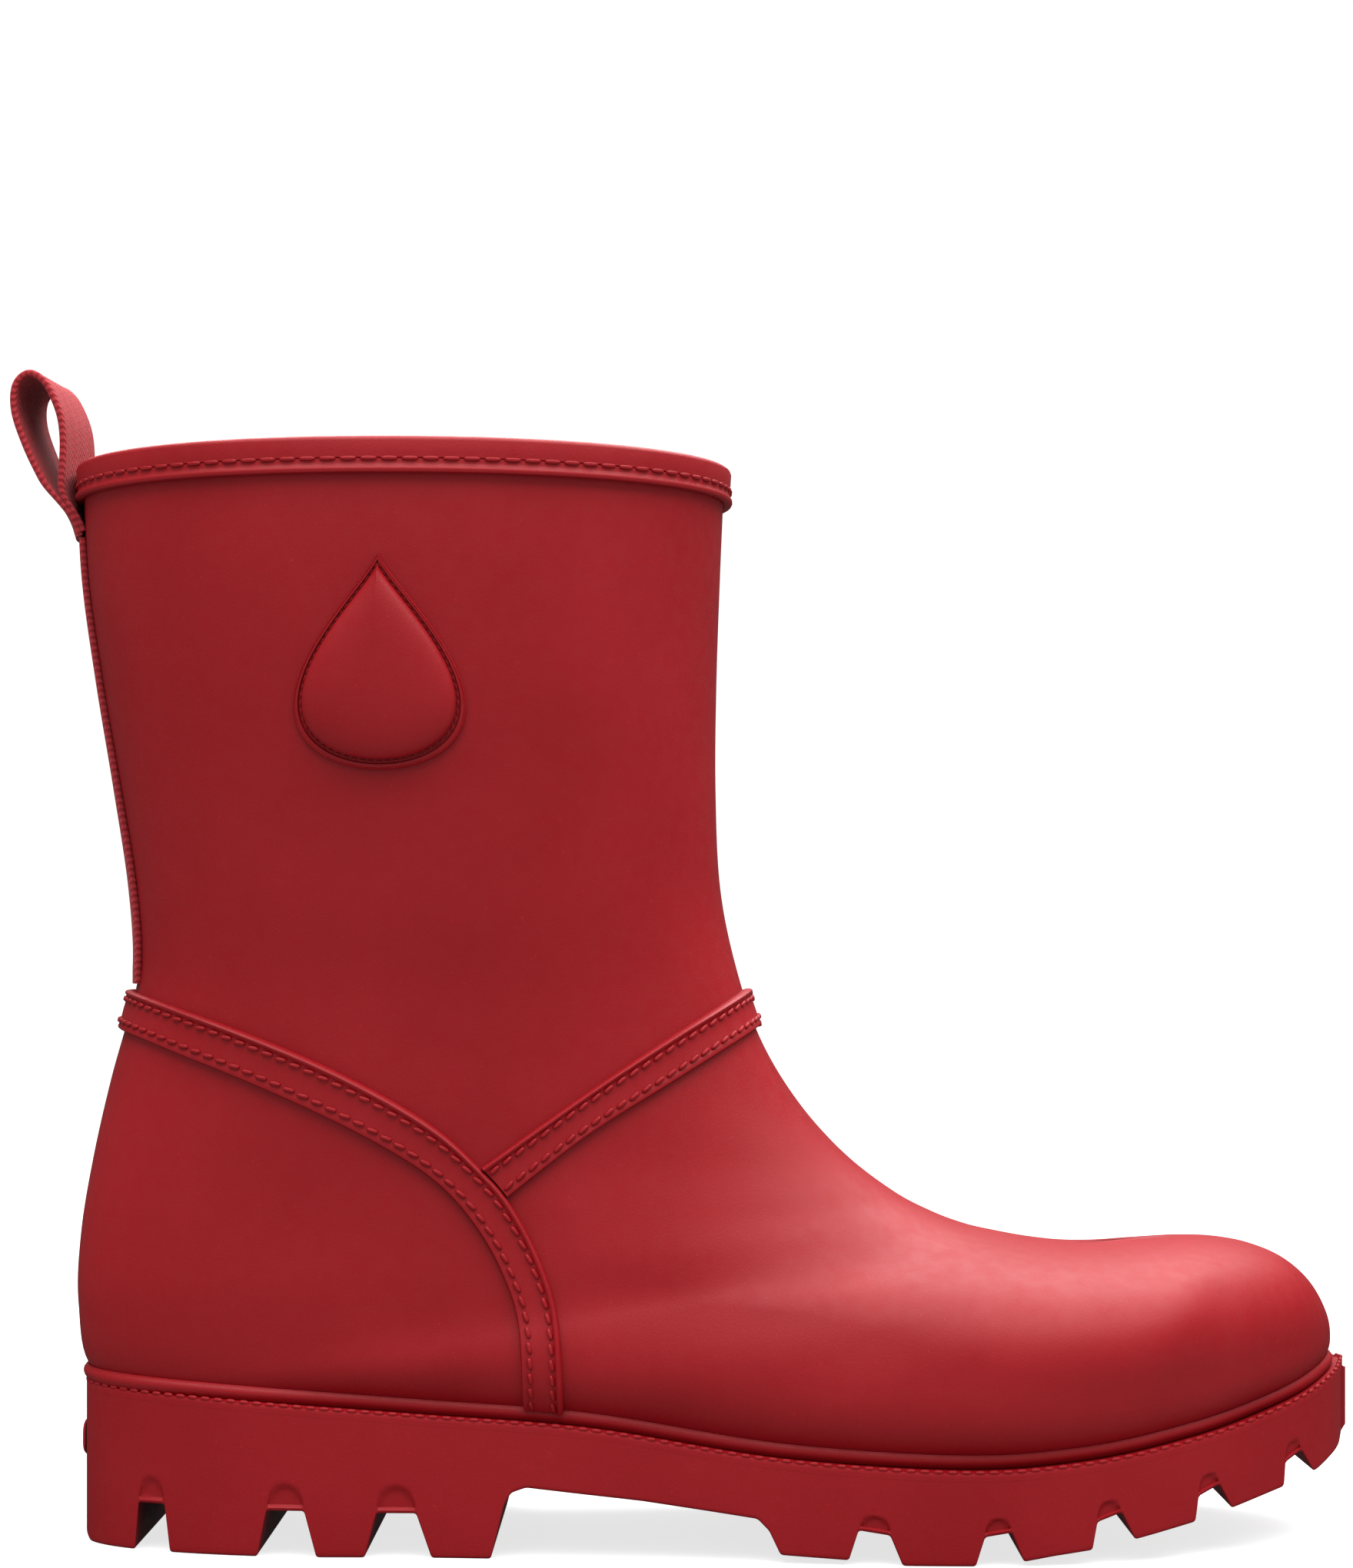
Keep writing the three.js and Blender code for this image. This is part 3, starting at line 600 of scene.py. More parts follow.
def lining_depth(z):
    """The lining lies close to the rubber in the shaft and leaves room for the stiffeners in the foot."""
    part = np.clip((np.asarray(z) - STIFFENER_TOP) / STIFFENER_FADE, 0, 1)
    return WALL + GAP + (1 - part * part * (3 - 2 * part)) * (STIFFENER + GAP)


def sock_lining():
    points, faces = double_wall(lining_depth, lambda z: lining_depth(z) + LINING, 160)
    lining = new_piece("knit_lining", points, faces, KNIT, "lining_knit", ["sock_lining"])
    return lining


SHAFT_SLICES = np.linspace(0, 5, 600)
SHAFT_HEIGHTS = slices_at(SHAFT_SLICES)[:, 1]


def shaft_slice(z):
    return np.interp(-z, -SHAFT_HEIGHTS, SHAFT_SLICES)


def shaft_ring(z, lift, count):
    """A level ring round the shaft, `lift` off its skin, evenly spaced from the front."""
    at = shaft_slice(min(z, SHAFT_TOP))
    turn = np.linspace(-np.pi, np.pi, 900)
    turn = even(turn[:, None], skin_point(at, turn), count, closed=True)[:, 0]
    points = skin(at, turn, lift)
    points[:, 2] = z
    return points


def round_shaft(profile, count=320):
    """Sections round the shaft. The profile is [z, lift off the skin] points."""
    return np.stack([shaft_ring(z, lift, count) for z, lift in profile], axis=1)


BAND_HANG = 3.4  # how far the collar band's outer wall reaches down over the rubber
BEAD_HEIGHT = 2.9
BEAD_LIFT = 2.1
COLLAR_JOINT_LIFT = 1.42  # how far off the skin the stitches between the two lie


def collar_band():
    """The binding over the top edge: a channel over the rubber and the lining."""
    top, low = SHAFT_TOP + 1.3, SHAFT_TOP - BAND_HANG
    profile = [
        (low, 0.1), (low, 1.35), (low + 0.15, 1.5), (low + 0.9, 1.5), (top - 1.0, 1.6),
        (top - 0.4, 1.4), (top, 0.8), (top + 0.05, -1.7), (top, -3.9), (top - 0.3, -4.5),
        (top - 0.9, -4.9), (low + 0.5, -4.9), (low, -4.6), (low, -4.0),
        (SHAFT_TOP + 0.1, -4.0), (SHAFT_TOP + 0.1, 0.1),
    ]
    return red_piece("collar_binding", bar(round_shaft(profile), ring=True), "collar_band")


def collar_bead():
    """The bead under the binding, with a row of moulded stitches along their joint."""
    top = SHAFT_TOP - BAND_HANG - 0.12
    low = SHAFT_TOP - BAND_HANG - GAP - BEAD_HEIGHT
    profile = [(top, 0.1), (top, 1.3), (top - 0.15, 1.45), (top - 0.9, 1.45), (top - 1.5, 1.6),
               (low + 1.1, 2.05), (low + 0.6, BEAD_LIFT), (low + 0.2, 1.9), (low, 1.4),
               (low, 0.6), (low + 0.25, 0.1)]
    bead = bar(round_shaft(profile), ring=True)
    line = shaft_ring(top, COLLAR_JOINT_LIFT, 320)
    outward = shaft_ring(top, COLLAR_JOINT_LIFT + 1, 320) - line
    row = stitch_row(line, outward, 4.4, closed=True, length=3.6, width=0.95, height=0.55)
    return red_piece("collar_bead_stitched", joined([bead, row]), "collar_bead")


# ------------------------------------------------------------------ straps

COUNTER_TOP = [(-12, 125.2), (9, 124.2), (32, 118), (54, 109.8), (71, 101.5), (83.7, 93.5), (92.4, 85.4),
               (99.3, 77.3), (106, 64.5), (109.8, 51), (111, 30)]
COUNTER_BOTTOM = [(-12, 114.8), (8, 115), (30, 108.3), (50.3, 100.3), (68, 91.8), (81.7, 83.2), (90.5, 73.9),
                  (97.2, 62.5), (101, 50.1), (102, 30)]
INSTEP_TOP = [(165, 133), (151.6, 124.5), (133.4, 113.5), (114.2, 100.8), (85, 80)]
INSTEP_BOTTOM = [(168, 124), (153.7, 115.4), (133.4, 103.2), (114.3, 91.2), (90, 72)]

# Across a strap, from its upper edge to its lower one: the share of the way and the lift off the skin.
STRAP_PROFILE = [(0, 0.05), (0, 0.9), (0.012, 1.5), (0.035, 1.95), (0.07, 2.2), (0.105, 2.15), (0.135, 1.9),
                 (0.16, 1.6), (0.19, 1.5), (0.5, 1.55), (0.8, 1.5), (0.86, 1.6), (0.92, 1.75), (0.965, 1.6),
                 (0.99, 1.1), (1, 0.5), (1, 0.05)]
STITCH_SHARES = (0.24, 0.77)
STRAP_FLAT = 1.5


def strap_line(top, bottom, share, count=1500):
    """A line along a strap in the side view, `share` of the way from its upper edge to its lower one."""
    upper, lower = (even(edge, edge, count) for edge in (smooth_line(top, 900), smooth_line(bottom, 900)))
    return upper * (1 - share) + lower * share


def from_silhouette(line, starts, ends, edge_turn):
    """The stretch of a side-view line between two of its shares as slice numbers and turns. It starts on the
    boot's silhouette, where the turn is `edge_turn`, and its places are closest together there."""
    share = starts + (ends - starts) * np.linspace(0, 1, 700) ** 2
    x, z = (np.interp(share, np.linspace(0, 1, len(line)), column) for column in line.T)
    at, along = locate(x, z)
    turn = turn_at(at, along)
    turn[0] = edge_turn
    return at, turn


def both_sides(at, turn, count):
    """A line over the boot: the outer side's half, back to front of the list, and then the inner side's."""
    halves = []
    for side in (-1, 1):
        values = np.stack([at, side * turn], 1)
        halves.append(even(values, skin_point(at, side * turn), count))
    return np.vstack([halves[0][::-1], halves[1][1:]])


def crossing(values, level):
    """The share of the way along a list at which it first passes a level upwards, or 1 if it never does."""
    if values.max() < level:
        return 1.0
    i = int(np.argmax(values >= level))
    part = (level - values[i - 1]) / (values[i] - values[i - 1]) if i else 0
    return (max(i - 1, 0) + part) / (len(values) - 1)


def counter_path(share, count=190):
    """A line along the counter strap, from the sole on the outer side, round the heel, to the inner side."""
    line = strap_line(COUNTER_TOP, COUNTER_BOTTOM, share)
    _, along = locate(line[:, 0], line[:, 1])
    starts = crossing(along, 0)
    ends = crossing(rim_height(line[:, 0]) + RAND + GAP - line[:, 1], 0)
    return both_sides(*from_silhouette(line, starts, ends, 0), count)


def instep_path(share, count=90):
    """A line along the instep strap, from the counter strap on one side to it on the other."""
    line = strap_line(INSTEP_TOP, INSTEP_BOTTOM, share)
    _, along = locate(line[:, 0], line[:, 1])
    starts = crossing(-along, -1)
    counter = smooth_line(COUNTER_TOP, 900)
    over = line[:, 1] - np.interp(line[:, 0], counter[:, 0], counter[:, 1]) - 0.6
    ends = crossing(-over, 0)
    return both_sides(*from_silhouette(line, starts, ends, np.pi), count)


def strap(name, path, node):
    paths = {share: path(share) for share in {share for share, _ in STRAP_PROFILE}}
    sections = np.stack([skin(*paths[share].T, lift) for share, lift in STRAP_PROFILE], axis=1)
    parts = [bar(sections)]
    for share in STITCH_SHARES:
        at, turn = path(share).T
        line = skin(at, turn, STRAP_FLAT)
        parts.append(stitch_row(line, skin_normal(at, turn), 3.4, length=2.75, width=1, height=0.7,
                                slant=0.16))
    return red_piece(name, joined(parts), node)


# ------------------------------------------------------------------ emblem

EMBLEM = {"x": 71.5, "z": 195, "half_width": 20, "half_height": 23, "point": 1.4}
EMBLEM_BASE = 1.4  # height of the flange off the skin
EMBLEM_CHANNEL = 0.8  # height of the floor of its stitched channel
CHANNEL_INSET = 1.8  # how far the channel's middle is in from the edge
CUSHION = 4.5  # height of the padded middle over the flange


def drop_ring(inset, scale=1.0, count=120):
    """A raindrop's outline in the side view, moved in by `inset` and scaled about its middle."""
    a = np.linspace(0, 2 * np.pi, 1200, endpoint=False)
    x = (EMBLEM["half_width"] - inset) * 1.3 * np.sin(a) * np.abs(np.sin(a / 2)) ** EMBLEM["point"]
    z = (EMBLEM["half_height"] - inset) * np.cos(a)
    ring = np.stack([x, z], 1)
    ring = even(ring, ring, count, closed=True)
    middle = np.array([0, -5.0])
    return (ring - middle) * scale + middle + (EMBLEM["x"], EMBLEM["z"])


def emblem_layer(steps):
    """Points and faces of a solid whose rings go from its edge to its middle: [inset, scale, lift]."""
    rings = [drape(*drop_ring(inset, scale).T, lift) for inset, scale, lift in steps]
    floor = drape(*drop_ring(steps[0][0], steps[0][1]).T, GAP / 2)
    sections = np.stack([floor, *rings])
    faces = grid_faces(*sections.shape[:2], close_columns=True)
    columns = sections.shape[1]
    faces.append(list(range(columns)))
    faces.append([len(sections) * columns - 1 - j for j in range(columns)])
    return sections.reshape(-1, 3), faces


def emblem_base():
    steps = [(0, 1, 0.7), (0.12, 1, 1.1), (0.4, 1, EMBLEM_BASE), (0.55, 1, EMBLEM_BASE - 0.12),
             (0.7, 1, EMBLEM_BASE), (1.25, 1, EMBLEM_BASE), (1.4, 1, EMBLEM_CHANNEL),
             (2.2, 1, EMBLEM_CHANNEL),
             (2.35, 1, EMBLEM_BASE), (9, 0.4, EMBLEM_BASE)]
    ring = drop_ring(CHANNEL_INSET, count=900)
    at, along = locate(*ring.T)
    turn = -turn_at(at, along)
    line = skin(at, turn, EMBLEM_CHANNEL - 0.05)
    row = stitch_row(line, skin_normal(at, turn), 1.8, closed=True, length=1.3, width=0.5, height=0.4)
    return red_piece("emblem_flange", joined([emblem_layer(steps), row]), "emblem_base")


def emblem_cushion():
    steps = []
    for a in np.linspace(0.04, 1, 16) * np.pi / 2:
        scale = 1 - 0.94 * (1 - math.cos(a)) ** 1.25
        steps.append((2.4, scale, EMBLEM_BASE + CUSHION * math.sin(a) ** 0.8))
    cushion = red_piece("emblem_padding", emblem_layer(steps), "emblem_cushion")
    return cushion


# ------------------------------------------------------------------ webbing

BACKSTAY_TOP = 226.5
LOOP_PIVOT = (-1.7, 228)
LOOP_SKEW = 6  # degrees: the loop's inner side stands a little forward
# The loop's middle line, up its front leg, over the top and down its rear leg.
LOOP_LINE = [(-0.85, 228), (-1.9, 232), (-3.1, 236), (-2.8, 241), (-2.5, 249), (-3.5, 255.4),
             (-6.6, 261.7), (-10.4, 264), (-13.5, 261.4), (-13.8, 255.6), (-11.3, 248), (-7.7, 240.5),
             (-4.4, 234.8), (-2.7, 231), (-1.5, 227)]


def weave_attribute(piece, across, along):
    """Each point's place on its webbing, across and along it, in millimetres."""
    made = piece.data.attributes.new("weave", "FLOAT_VECTOR", "POINT")
    values = np.column_stack([across, along, np.zeros(len(across))])
    made.data.foreach_set("vector", values.astype(np.float32).ravel())


def webbing_profile(count=36):
    """Across webbing: each point's place between the selvages and its share of the thickness."""
    half = WEBBING_WIDTH / 2
    y = half * np.sin(np.linspace(-np.pi / 2, np.pi / 2, count))
    edge = np.sqrt(np.clip(1 - ((np.abs(y) - half + 0.7) / 0.7).clip(0, 1) ** 2, 0, 1))
    selvage = 1 + 0.16 * np.exp(-((np.abs(y) - half + 0.8) / 0.45) ** 2)
    share = 0.5 * edge * selvage
    return np.concatenate([np.stack([y, share], 1), np.stack([y, -share], 1)[::-1][1:-1]])


def backstay_webbing():
    profile = webbing_profile()
    z = np.linspace(125.4, BACKSTAY_TOP, 150)
    at = shaft_slice(z)[:, None]
    y = profile[None, :, 0]
    turns = np.linspace(-0.6, 0.6, 400)
    turn = np.empty((len(z), len(profile)))
    for i, number in enumerate(at[:, 0]):
        turn[i] = np.interp(y[0], skin_point(number, turns)[:, 1], turns)
    lift = 0.05 + WEBBING / 2 + profile[None, :, 1] * WEBBING
    sections = skin(np.broadcast_to(at, turn.shape), turn, lift)
    sections[..., 2] = z[:, None]
    strip = new_piece("backstay_strip", *bar(sections), WEBBING_CLOTH, "webbing", ["backstay_webbing"],
                      sharp=60)
    weave_attribute(strip, np.tile(profile[:, 0], len(z)), np.repeat(z, len(profile)))
    return strip


def pull_loop():
    line = smooth_line(LOOP_LINE, 900)
    line = even(line, line, 190)
    ahead = np.gradient(line, axis=0)
    ahead /= np.linalg.norm(ahead, axis=1, keepdims=True)
    away = np.stack([-ahead[:, 1], ahead[:, 0]], 1)
    profile = webbing_profile()
    side = profile[None, :, 1, None] * WEBBING * away[:, None]
    plan = line[:, None] + side
    x, z = plan[..., 0] - LOOP_PIVOT[0], plan[..., 1]
    y = np.broadcast_to(profile[:, 0], x.shape)
    free = np.clip((z - LOOP_PIVOT[1]) / 12, 0, 1)
    free = free * free * (3 - 2 * free)
    skew = np.radians(-LOOP_SKEW) * free
    half, depth = SLICES[0][4], (SLICES[0][2] - SLICES[0][0]) / 2
    wrapped = depth * (1 - np.sqrt(1 - (y / half) ** 2)) * (1 - free)
    sections = np.stack([x * np.cos(skew) - y * np.sin(skew) + LOOP_PIVOT[0] + wrapped,
                         x * np.sin(skew) + y * np.cos(skew), z], axis=-1)
    loop = new_piece("pull_loop_strap", *bar(sections), WEBBING_CLOTH, "webbing", ["pull_loop"], body=None,
                     sharp=60)
    far = np.concatenate([[0], np.cumsum(np.linalg.norm(np.diff(line, axis=0), axis=1))])
    weave_attribute(loop, np.tile(profile[:, 0], len(line)), np.repeat(far, len(profile)))
    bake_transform(loop)
    return loop


# ------------------------------------------------------------------ sole

# The sole from the side, under its top edge: heel, breast, arch, flat forefoot and rising toe.
UNDERSIDE = [(0, 6), (1, 2.5), (3.5, 0), (94.8, 0), (97.7, 11.6), (99.2, 14.4), (102.5, 15.6), (128, 12.9),
             (153, 9.5),
             (155.5, 7), (158, 1.8), (172.7, 1), (184.3, 0), (205, 0), (217, 2.1), (226, 3.3), (249, 8),
             (271, 13.5),
             (280, 16), (287.5, 19.8), (290.5, 24.5)]
# Notches right across the tread: from and to at the tread, from and to at the roof, depth, and the height of
# the arch over it.
NOTCHES = [
    (15.2, 23.5, 16.1, 22.2, 10.5, 5.7),
    (43.4, 56.5, 45.5, 53.8, 10.1, 5.7),
    (67.1, 81.8, 69.7, 78.4, 9.7, 5.9),
    (172.7, 184.3, 174.8, 181.6, 6.5, 3.6),
    (200, 210.4, 202, 207.8, 6.3, 3.5),
    (225.4, 234.9, 226.5, 231.9, 6, 3.6),
    (248.9, 257.6, 249.7, 254.7, 5.5, 3.7),
    (270.8, 278.8, 271.2, 275.4, 5.3, 3.6),
]
SCOOP_DEPTH = 0.7
EDGE = 0.7  # radius of the sole's moulded edges


def rounded(points, radius):
    """A line whose corners are rounded."""
    points = np.asarray(points, float)
    made = [points[:1]]
    for before, corner, after in zip(points, points[1:], points[2:]):
        reach = [min(radius, np.linalg.norm(end - corner) * 0.45) / np.linalg.norm(end - corner)
                 for end in (before, after)]
        start, end = corner + (before - corner) * reach[0], corner + (after - corner) * reach[1]
        t = np.linspace(0, 1, 5)[:, None]
        made.append((1 - t) ** 2 * start + 2 * t * (1 - t) * corner + t ** 2 * end)
    made.append(points[-1:])
    return np.vstack(made)


def tread_height(x):
    base = np.asarray(UNDERSIDE, float)
    return np.interp(x, base[:, 0], base[:, 1])


def tread_line():
    """The sole's underside in the side view, with its notches."""
    line = [(x, z) for x, z in UNDERSIDE if not any(notch[0] <= x <= notch[1] for notch in NOTCHES)]
    for starts, ends, roof_starts, roof_ends, depth, _ in NOTCHES:
        low, high = tread_height(starts), tread_height(ends)
        line += [(starts, low), (roof_starts, low + depth), (roof_ends, high + depth), (ends, high)]
    return rounded(sorted(line), EDGE)


def sole_stations(tread, back, front):
    """Places along the sole: the tread line's own points, even ones between, and close ones at both ends."""
    ends = 6 * np.linspace(0, 1, 26) ** 2.2
    marks = np.concatenate([np.linspace(back, front, 330), tread[:, 0], back + ends, front - ends])
    marks = np.unique(np.round(marks[(marks >= back) & (marks <= front)], 3))
    return marks[np.concatenate([[True], np.diff(marks) > 0.015])]


def scooped(x, z):
    """How far the sole's wall is hollowed at a place in the side view."""
    hollow = np.zeros(np.broadcast(x, z).shape)
    for starts, ends, roof_starts, roof_ends, depth, rise in NOTCHES:
        middle, half = (roof_starts + roof_ends) / 2, (roof_ends - roof_starts) / 2
        roof = (tread_height(starts) + tread_height(ends)) / 2 + depth
        up = (z - roof) / rise
        reach = np.sqrt(((x - middle) / half) ** 2 + up ** 2)
        inside = np.clip((1.06 - reach) / 0.2, 0, 1) * (up > -0.4)
        hollow = np.maximum(hollow, SCOOP_DEPTH * inside * inside * (3 - 2 * inside))
    return hollow


def under_upper(x):
    """The height of the upper's underside along its middle."""
    numbers = np.linspace(10.9, TOE, 3000)
    s = slices_at(numbers)
    return np.interp(x, s[:, 0], s[:, 1])


def sole_top(x, y, edge):
    """The sole's upper side: a rim under the welt, and inside it the seat of the upper and of its fillers."""
    seat = under_upper(x) - GAP
    heel = (x > 8) & (x < 64) & (np.abs(y) < 30)
    shank = (x > 70) & (x < 152) & (y > -9) & (y < 3)
    ball = (x > 162) & (x < 242) & (np.abs(y + 2) < 34)
    seat = np.where(heel, 13 - GAP, seat)
    seat = np.where(shank, seat - 2.1, seat)
    seat = np.where(ball, seat - 2.9, seat)
    return np.where(edge < 5.5, rim_height(x) - WELT - GAP, np.minimum(seat, rim_height(x) - WELT - GAP))


def outsole():
    tread = tread_line()
    plan = foot_plan(flange)
    back, front = plan[:, 0].min() + 0.002, plan[:, 0].max() - 0.002
    x = sole_stations(tread, back, front)
    low = np.interp(x, tread[:, 0], tread[:, 1])
    top = rim_height(x) - WELT - 0.02
    half = len(plan) // 2
    halves = [plan[:half + 1], np.vstack([plan[half:], plan[:1]])[::-1]]
    walls = [np.interp(x, *side[np.argsort(side[:, 0])].T) for side in halves]
    middle, width = (walls[0] + walls[1]) / 2, (walls[1] - walls[0]) / 2
    edge = np.minimum(EDGE, width * 0.5)
    sections = []
    for share in np.linspace(-1, 1, 15)[1:-1]:
        sections.append(np.stack([x, middle + (width - edge) * share, low], 1))
    for side in (1, -1):
        rows = [(edge * (1 - math.sin(a)), edge * (1 - math.cos(a))) for a in np.linspace(0, np.pi / 2, 5)]
        wall = [np.stack([x, middle + side * (width - inset), low + rise], 1) for inset, rise in rows]
        for share in np.linspace(0, 1, 30)[1:-1]:
            z = low + edge + (top - low - edge) * share
            wall.append(np.stack([x, middle + side * np.maximum(width - scooped(x, z), width * 0.5), z], 1))
        wall.append(np.stack([x, middle + side * width, top], 1))
        sections += wall if side == 1 else wall[::-1]
        if side == 1:
            for share in np.linspace(1, -1, 41)[1:-1]:
                inset = (1 - abs(share)) * width
                y = middle + share * width
                sections.append(np.stack([x, y, sole_top(x, y, inset)], 1))
    return new_piece("unit_sole", *bar(np.stack(sections, axis=1)), SOLE_RUBBER, "sole_rubber", ["outsole"])


def welt():
    profile = [(-6, 0), (-1.1, 0), (-0.75, -0.25), (-0.45, -0.25), (-0.12, -0.3), (0, -0.55), (0, -1.2),
               (0, -WELT),
               (-6, -WELT)]
    ledge = bar(round_plan(profile), ring=True)
    line = round_plan([(-0.5, -0.3)])[:, 0]
    outward = round_plan([(0.1, 0.5)])[:, 0] - line
    row = stitch_row(line, outward, 3.0, closed=True, length=2.4, width=0.95, height=0.75)
    return new_piece("welt_stitched", *joined([ledge, row]), SOLE_RUBBER, "sole_rubber", ["welt"])


def rand_bead():
    middle, half = (RAND + GAP) / 2, (RAND - GAP) / 2
    arc = np.linspace(-np.pi / 2, np.pi / 2, 13)
    profile = [(middle + half * math.sin(a), 0.1 + 2.15 * math.cos(a) ** 0.75) for a in arc]
    return red_piece("rand_roll", bar(round_foot(profile), ring=True), "rand_bead")


def heel_tab():
    """A small pad on the back of the heel."""
    plan = foot_plan(lambda x: flange(x) + GAP)
    across = np.linspace(-1, 1, 33)
    up = np.linspace(-1, 1, 17)
    near = np.vstack([plan[-60:], plan[:60]])[::-1]
    y = 11 * across
    x = np.interp(y, near[:, 1], near[:, 0])
    slope = np.gradient(x, y)
    normal = np.stack([-np.ones_like(slope), slope, np.zeros_like(slope)], 1)
    normal /= np.linalg.norm(normal, axis=1, keepdims=True)
    reach = np.clip(1 - np.abs(across[:, None]) ** 4 - np.abs(up[None]) ** 4, 0, 1) ** 0.35
    squeeze = (1 - np.abs(across) ** 5 * 0.35)[:, None]
    base = np.stack([np.broadcast_to(x[:, None], reach.shape), np.broadcast_to(y[:, None], reach.shape),
                     22 + 4 * up[None] * squeeze], axis=-1)
    front = base + normal[:, None] * (0.9 * reach)[..., None]
    rows, columns = reach.shape
    faces = grid_faces(rows, columns) + grid_faces(rows, columns, first=rows * columns)
    border = [(i, 0) for i in range(rows)] + [(rows - 1, j) for j in range(1, columns)]
    border += [(i, columns - 1) for i in range(rows - 2, -1, -1)] + [(0, j)
                                                                     for j in range(columns - 2, 0, -1)]
    rim = [i * columns + j for i, j in border]
    for a, b in zip(rim, rim[1:] + rim[:1]):
        faces.append((a, b, b + rows * columns, a + rows * columns))
    points = np.vstack([front.reshape(-1, 3), base.reshape(-1, 3)])
    return new_piece("heel_pad", points, faces, SOLE_RUBBER, "red_rubber", ["heel_tab"])


# ------------------------------------------------------------------ inside the foot

FOOTBED = 5
FOOTBED_COVER = 0.9
FOOTBED_TOP = WALL + STIFFENER + LINING + 3 * GAP + FOOTBED  # over the underside of the upper


def bed_sheet(low, high, inset, cup):
    """Points and faces of a sheet that lies over the upper's underside, with its edges turned up by `cup`."""
    plan = foot_plan(-inset)
    half = len(plan) // 2
    halves = [plan[:half + 1], np.vstack([plan[half:], plan[:1]])[::-1]]
    back, front = plan[:, 0].min() + 0.05, plan[:, 0].max() - 0.05
    x = back + (front - back) * (1 - np.cos(np.linspace(0, np.pi, 120))) / 2
    walls = [np.interp(x, *side[np.argsort(side[:, 0])].T) for side in halves]
    across = np.linspace(-1, 1, 41)
    y = (walls[0] + walls[1])[:, None] / 2 + (walls[1] - walls[0])[:, None] / 2 * across
    ground = under_upper(x)[:, None] + cup * np.abs(across) ** 4
    xs = np.broadcast_to(x[:, None], y.shape)
    upper = np.stack([xs, y, ground + high], axis=-1)
    lower = np.stack([xs, y, ground + low], axis=-1)
    return bar(np.concatenate([upper, lower[:, ::-1]], axis=1))


def footbed():
    shape = bed_sheet(FOOTBED_TOP - FOOTBED, FOOTBED_TOP, 10, 1.2)
    bed = new_piece("footbed_foam", *shape, FOAM, "footbed_foam", ["footbed"])
    return bed


def footbed_cover():
    low = FOOTBED_TOP + GAP
    cover = new_piece("footbed_top_cloth", *bed_sheet(low, low + FOOTBED_COVER, 10.5, 1.2), FOOTBED_CLOTH,
                      "footbed_cloth", ["footbed_cover"])
    return cover


INNER_MATERIALS = {
    "toe_puff": (STIFF, "stiffener"),
    "heel_counter": (STIFF, "stiffener"),
    "insole_board": (BOARD, "insole_fibreboard"),
    "heel_filler": (HEEL_FOAM, "heel_foam"),
    "forefoot_filler": (CORK, "cork_filler"),
    "shank": (STEEL, "shank_steel"),
}


def paint_inner_parts():
    """The parts inside the foot keep their CAD shapes."""
    for name, (material, slot) in INNER_MATERIALS.items():
        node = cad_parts[name]
        node.data.materials.clear()
        node.data.materials.append(material)


# ------------------------------------------------------------------ the boot

upper_shell()
sock_lining()
collar_band()
collar_bead()
strap("counter_strap_stitched", counter_path, "counter_strap")
strap("instep_strap_stitched", instep_path, "instep_strap")
emblem_base()
emblem_cushion()
backstay_webbing()
pull_loop()
outsole()
welt()
rand_bead()
heel_tab()
footbed()
footbed_cover()
paint_inner_parts()

# ------------------------------------------------------------------ the studio


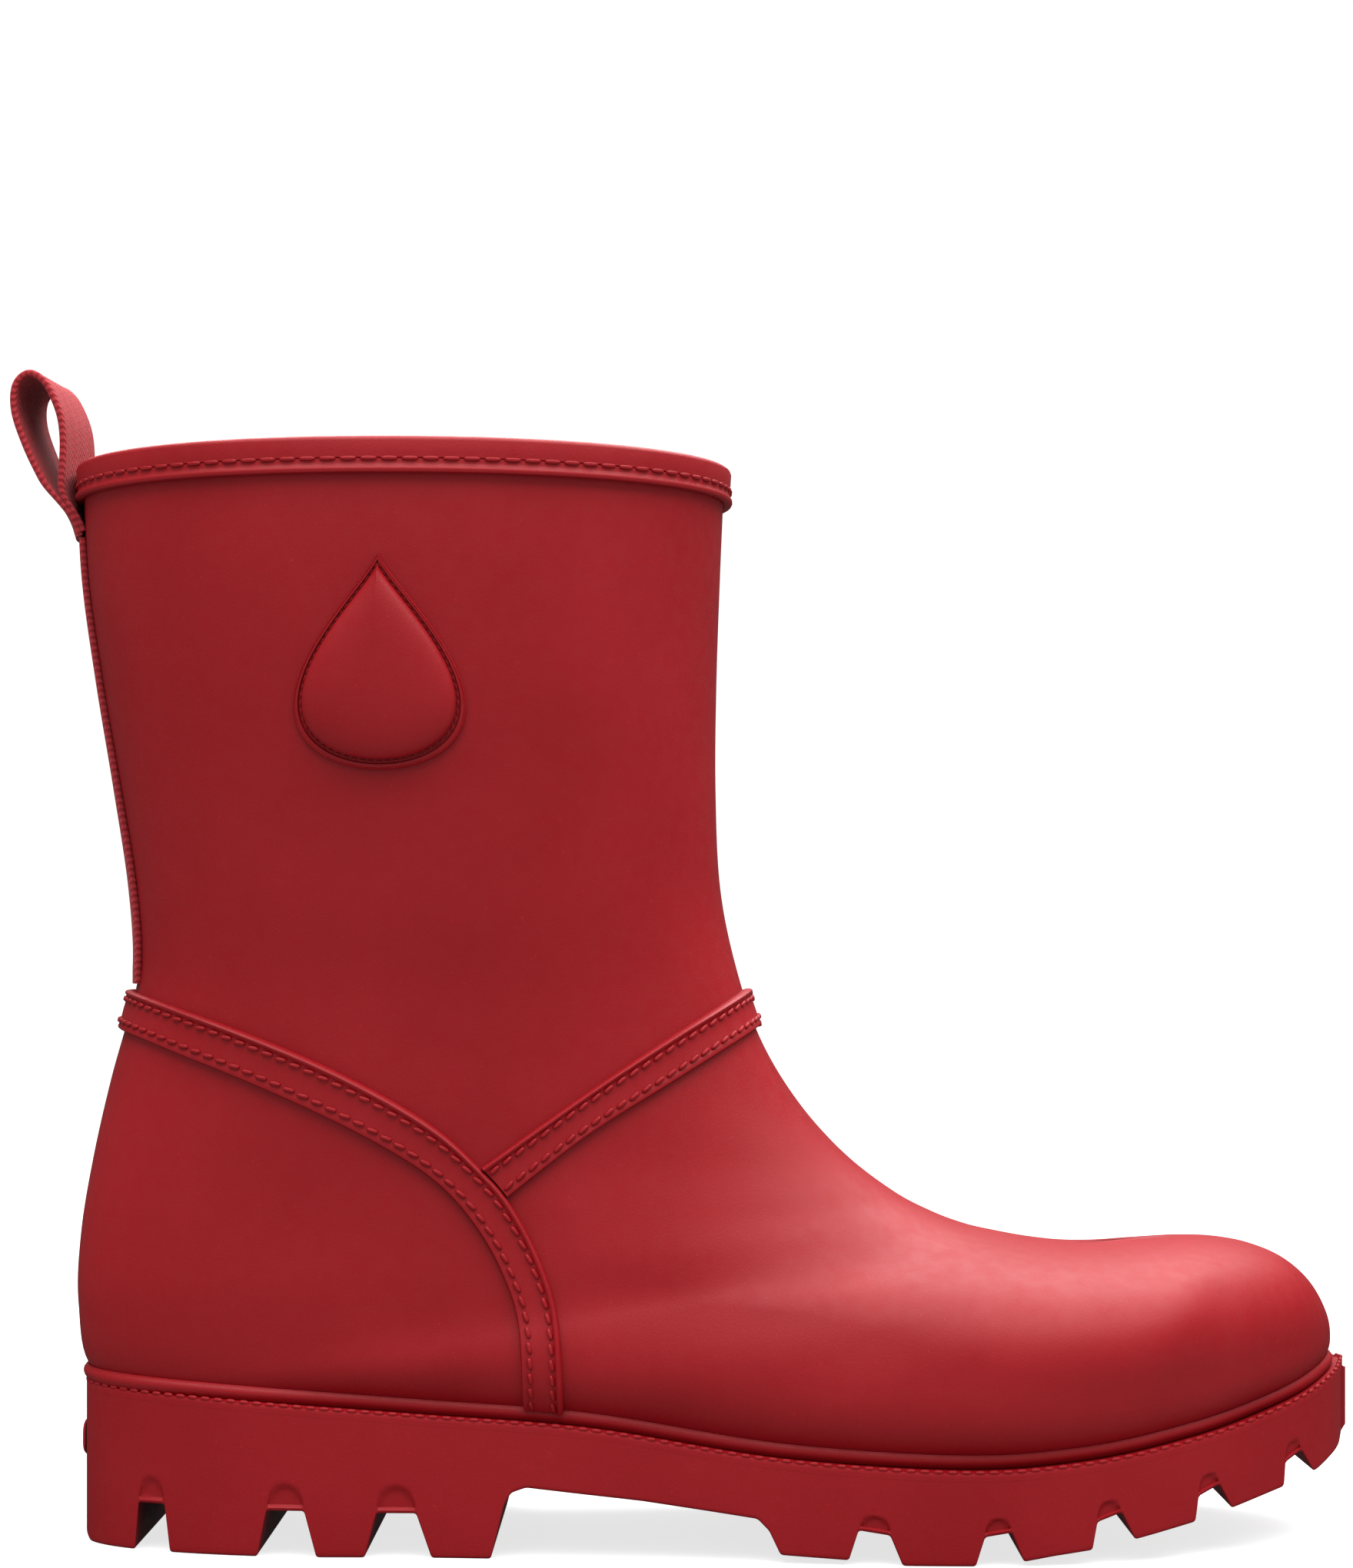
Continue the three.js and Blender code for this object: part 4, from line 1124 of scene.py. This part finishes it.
def studio_floor():
    mesh = bpy.data.meshes.new("floor")
    mesh.from_pydata([(-4, -4, 0), (4, -4, 0), (4, 4, 0), (-4, 4, 0)], [], [(0, 1, 2, 3)])
    floor = bpy.data.objects.new("floor", mesh)
    bpy.context.scene.collection.objects.link(floor)
    paint = Paint("floor_paper", 0.9, 0.1)
    grain = paint.noise(40, 4)
    colour = paint.mix(grain, (0.26, 0.26, 0.26), (0.29, 0.29, 0.29))
    seen = paint.node("ShaderNodeLightPath").outputs["Is Camera Ray"]
    paint.put((1, 1, 1, 1), paint.shader.inputs["Emission Color"])
    paint.put(paint.math("MULTIPLY", seen, 0.75), paint.shader.inputs["Emission Strength"])
    mesh.materials.append(paint.finish(colour, paint.bump(paint.noise(800, 3), 0.00003)))
    floor.visible_glossy = False


def studio_light(name, spot, target, size, power):
    light = bpy.data.lights.new(name, "AREA")
    light.shape = "RECTANGLE"
    light.size, light.size_y = size
    light.energy = power
    lamp = bpy.data.objects.new(name, light)
    bpy.context.scene.collection.objects.link(lamp)
    lamp.location = spot
    lamp.rotation_euler = (Vector(target) - Vector(spot)).to_track_quat("-Z", "Y").to_euler()


DIFFUSE_WORLD = 1.1  # the world's strength for diffuse light
GLOSSY_WORLD = 0.08  # and for reflections, which the two lights give instead


def studio():
    world = bpy.data.worlds.new("studio")
    bpy.context.scene.world = world
    world.use_nodes = True
    tree = world.node_tree
    tree.nodes["Background"].inputs["Color"].default_value = (1, 1, 1, 1)
    path = tree.nodes.new("ShaderNodeLightPath")
    strength = tree.nodes.new("ShaderNodeMapRange")
    strength.inputs["To Min"].default_value = DIFFUSE_WORLD
    strength.inputs["To Max"].default_value = GLOSSY_WORLD
    tree.links.new(path.outputs["Is Glossy Ray"], strength.inputs["Value"])
    tree.links.new(strength.outputs["Result"], tree.nodes["Background"].inputs["Strength"])
    studio_floor()
    studio_light("overhead", (0.28, -0.28, 1.3), (0.12, 0, 0.08), (2.2, 1.5), 62)
    studio_light("behind", (0.2, 0.8, 1.3), (0.14, 0, 0.08), (1.8, 0.9), 34)
    bpy.context.scene.view_settings.view_transform = "Standard"


def photo_camera():
    """The photograph's view: from the outer side, with the horizon at about the boot's middle."""
    data = bpy.data.cameras.new("camera")
    data.sensor_width = 36
    data.lens = 77.8
    camera = bpy.data.objects.new("camera", data)
    bpy.context.scene.collection.objects.link(camera)
    camera.location = (0.1004, -0.78, 0.1344)
    camera.rotation_euler = (math.radians(90), 0, 0)
    data.shift_y = 0.102
    bpy.context.scene.camera = camera


studio()
photo_camera()
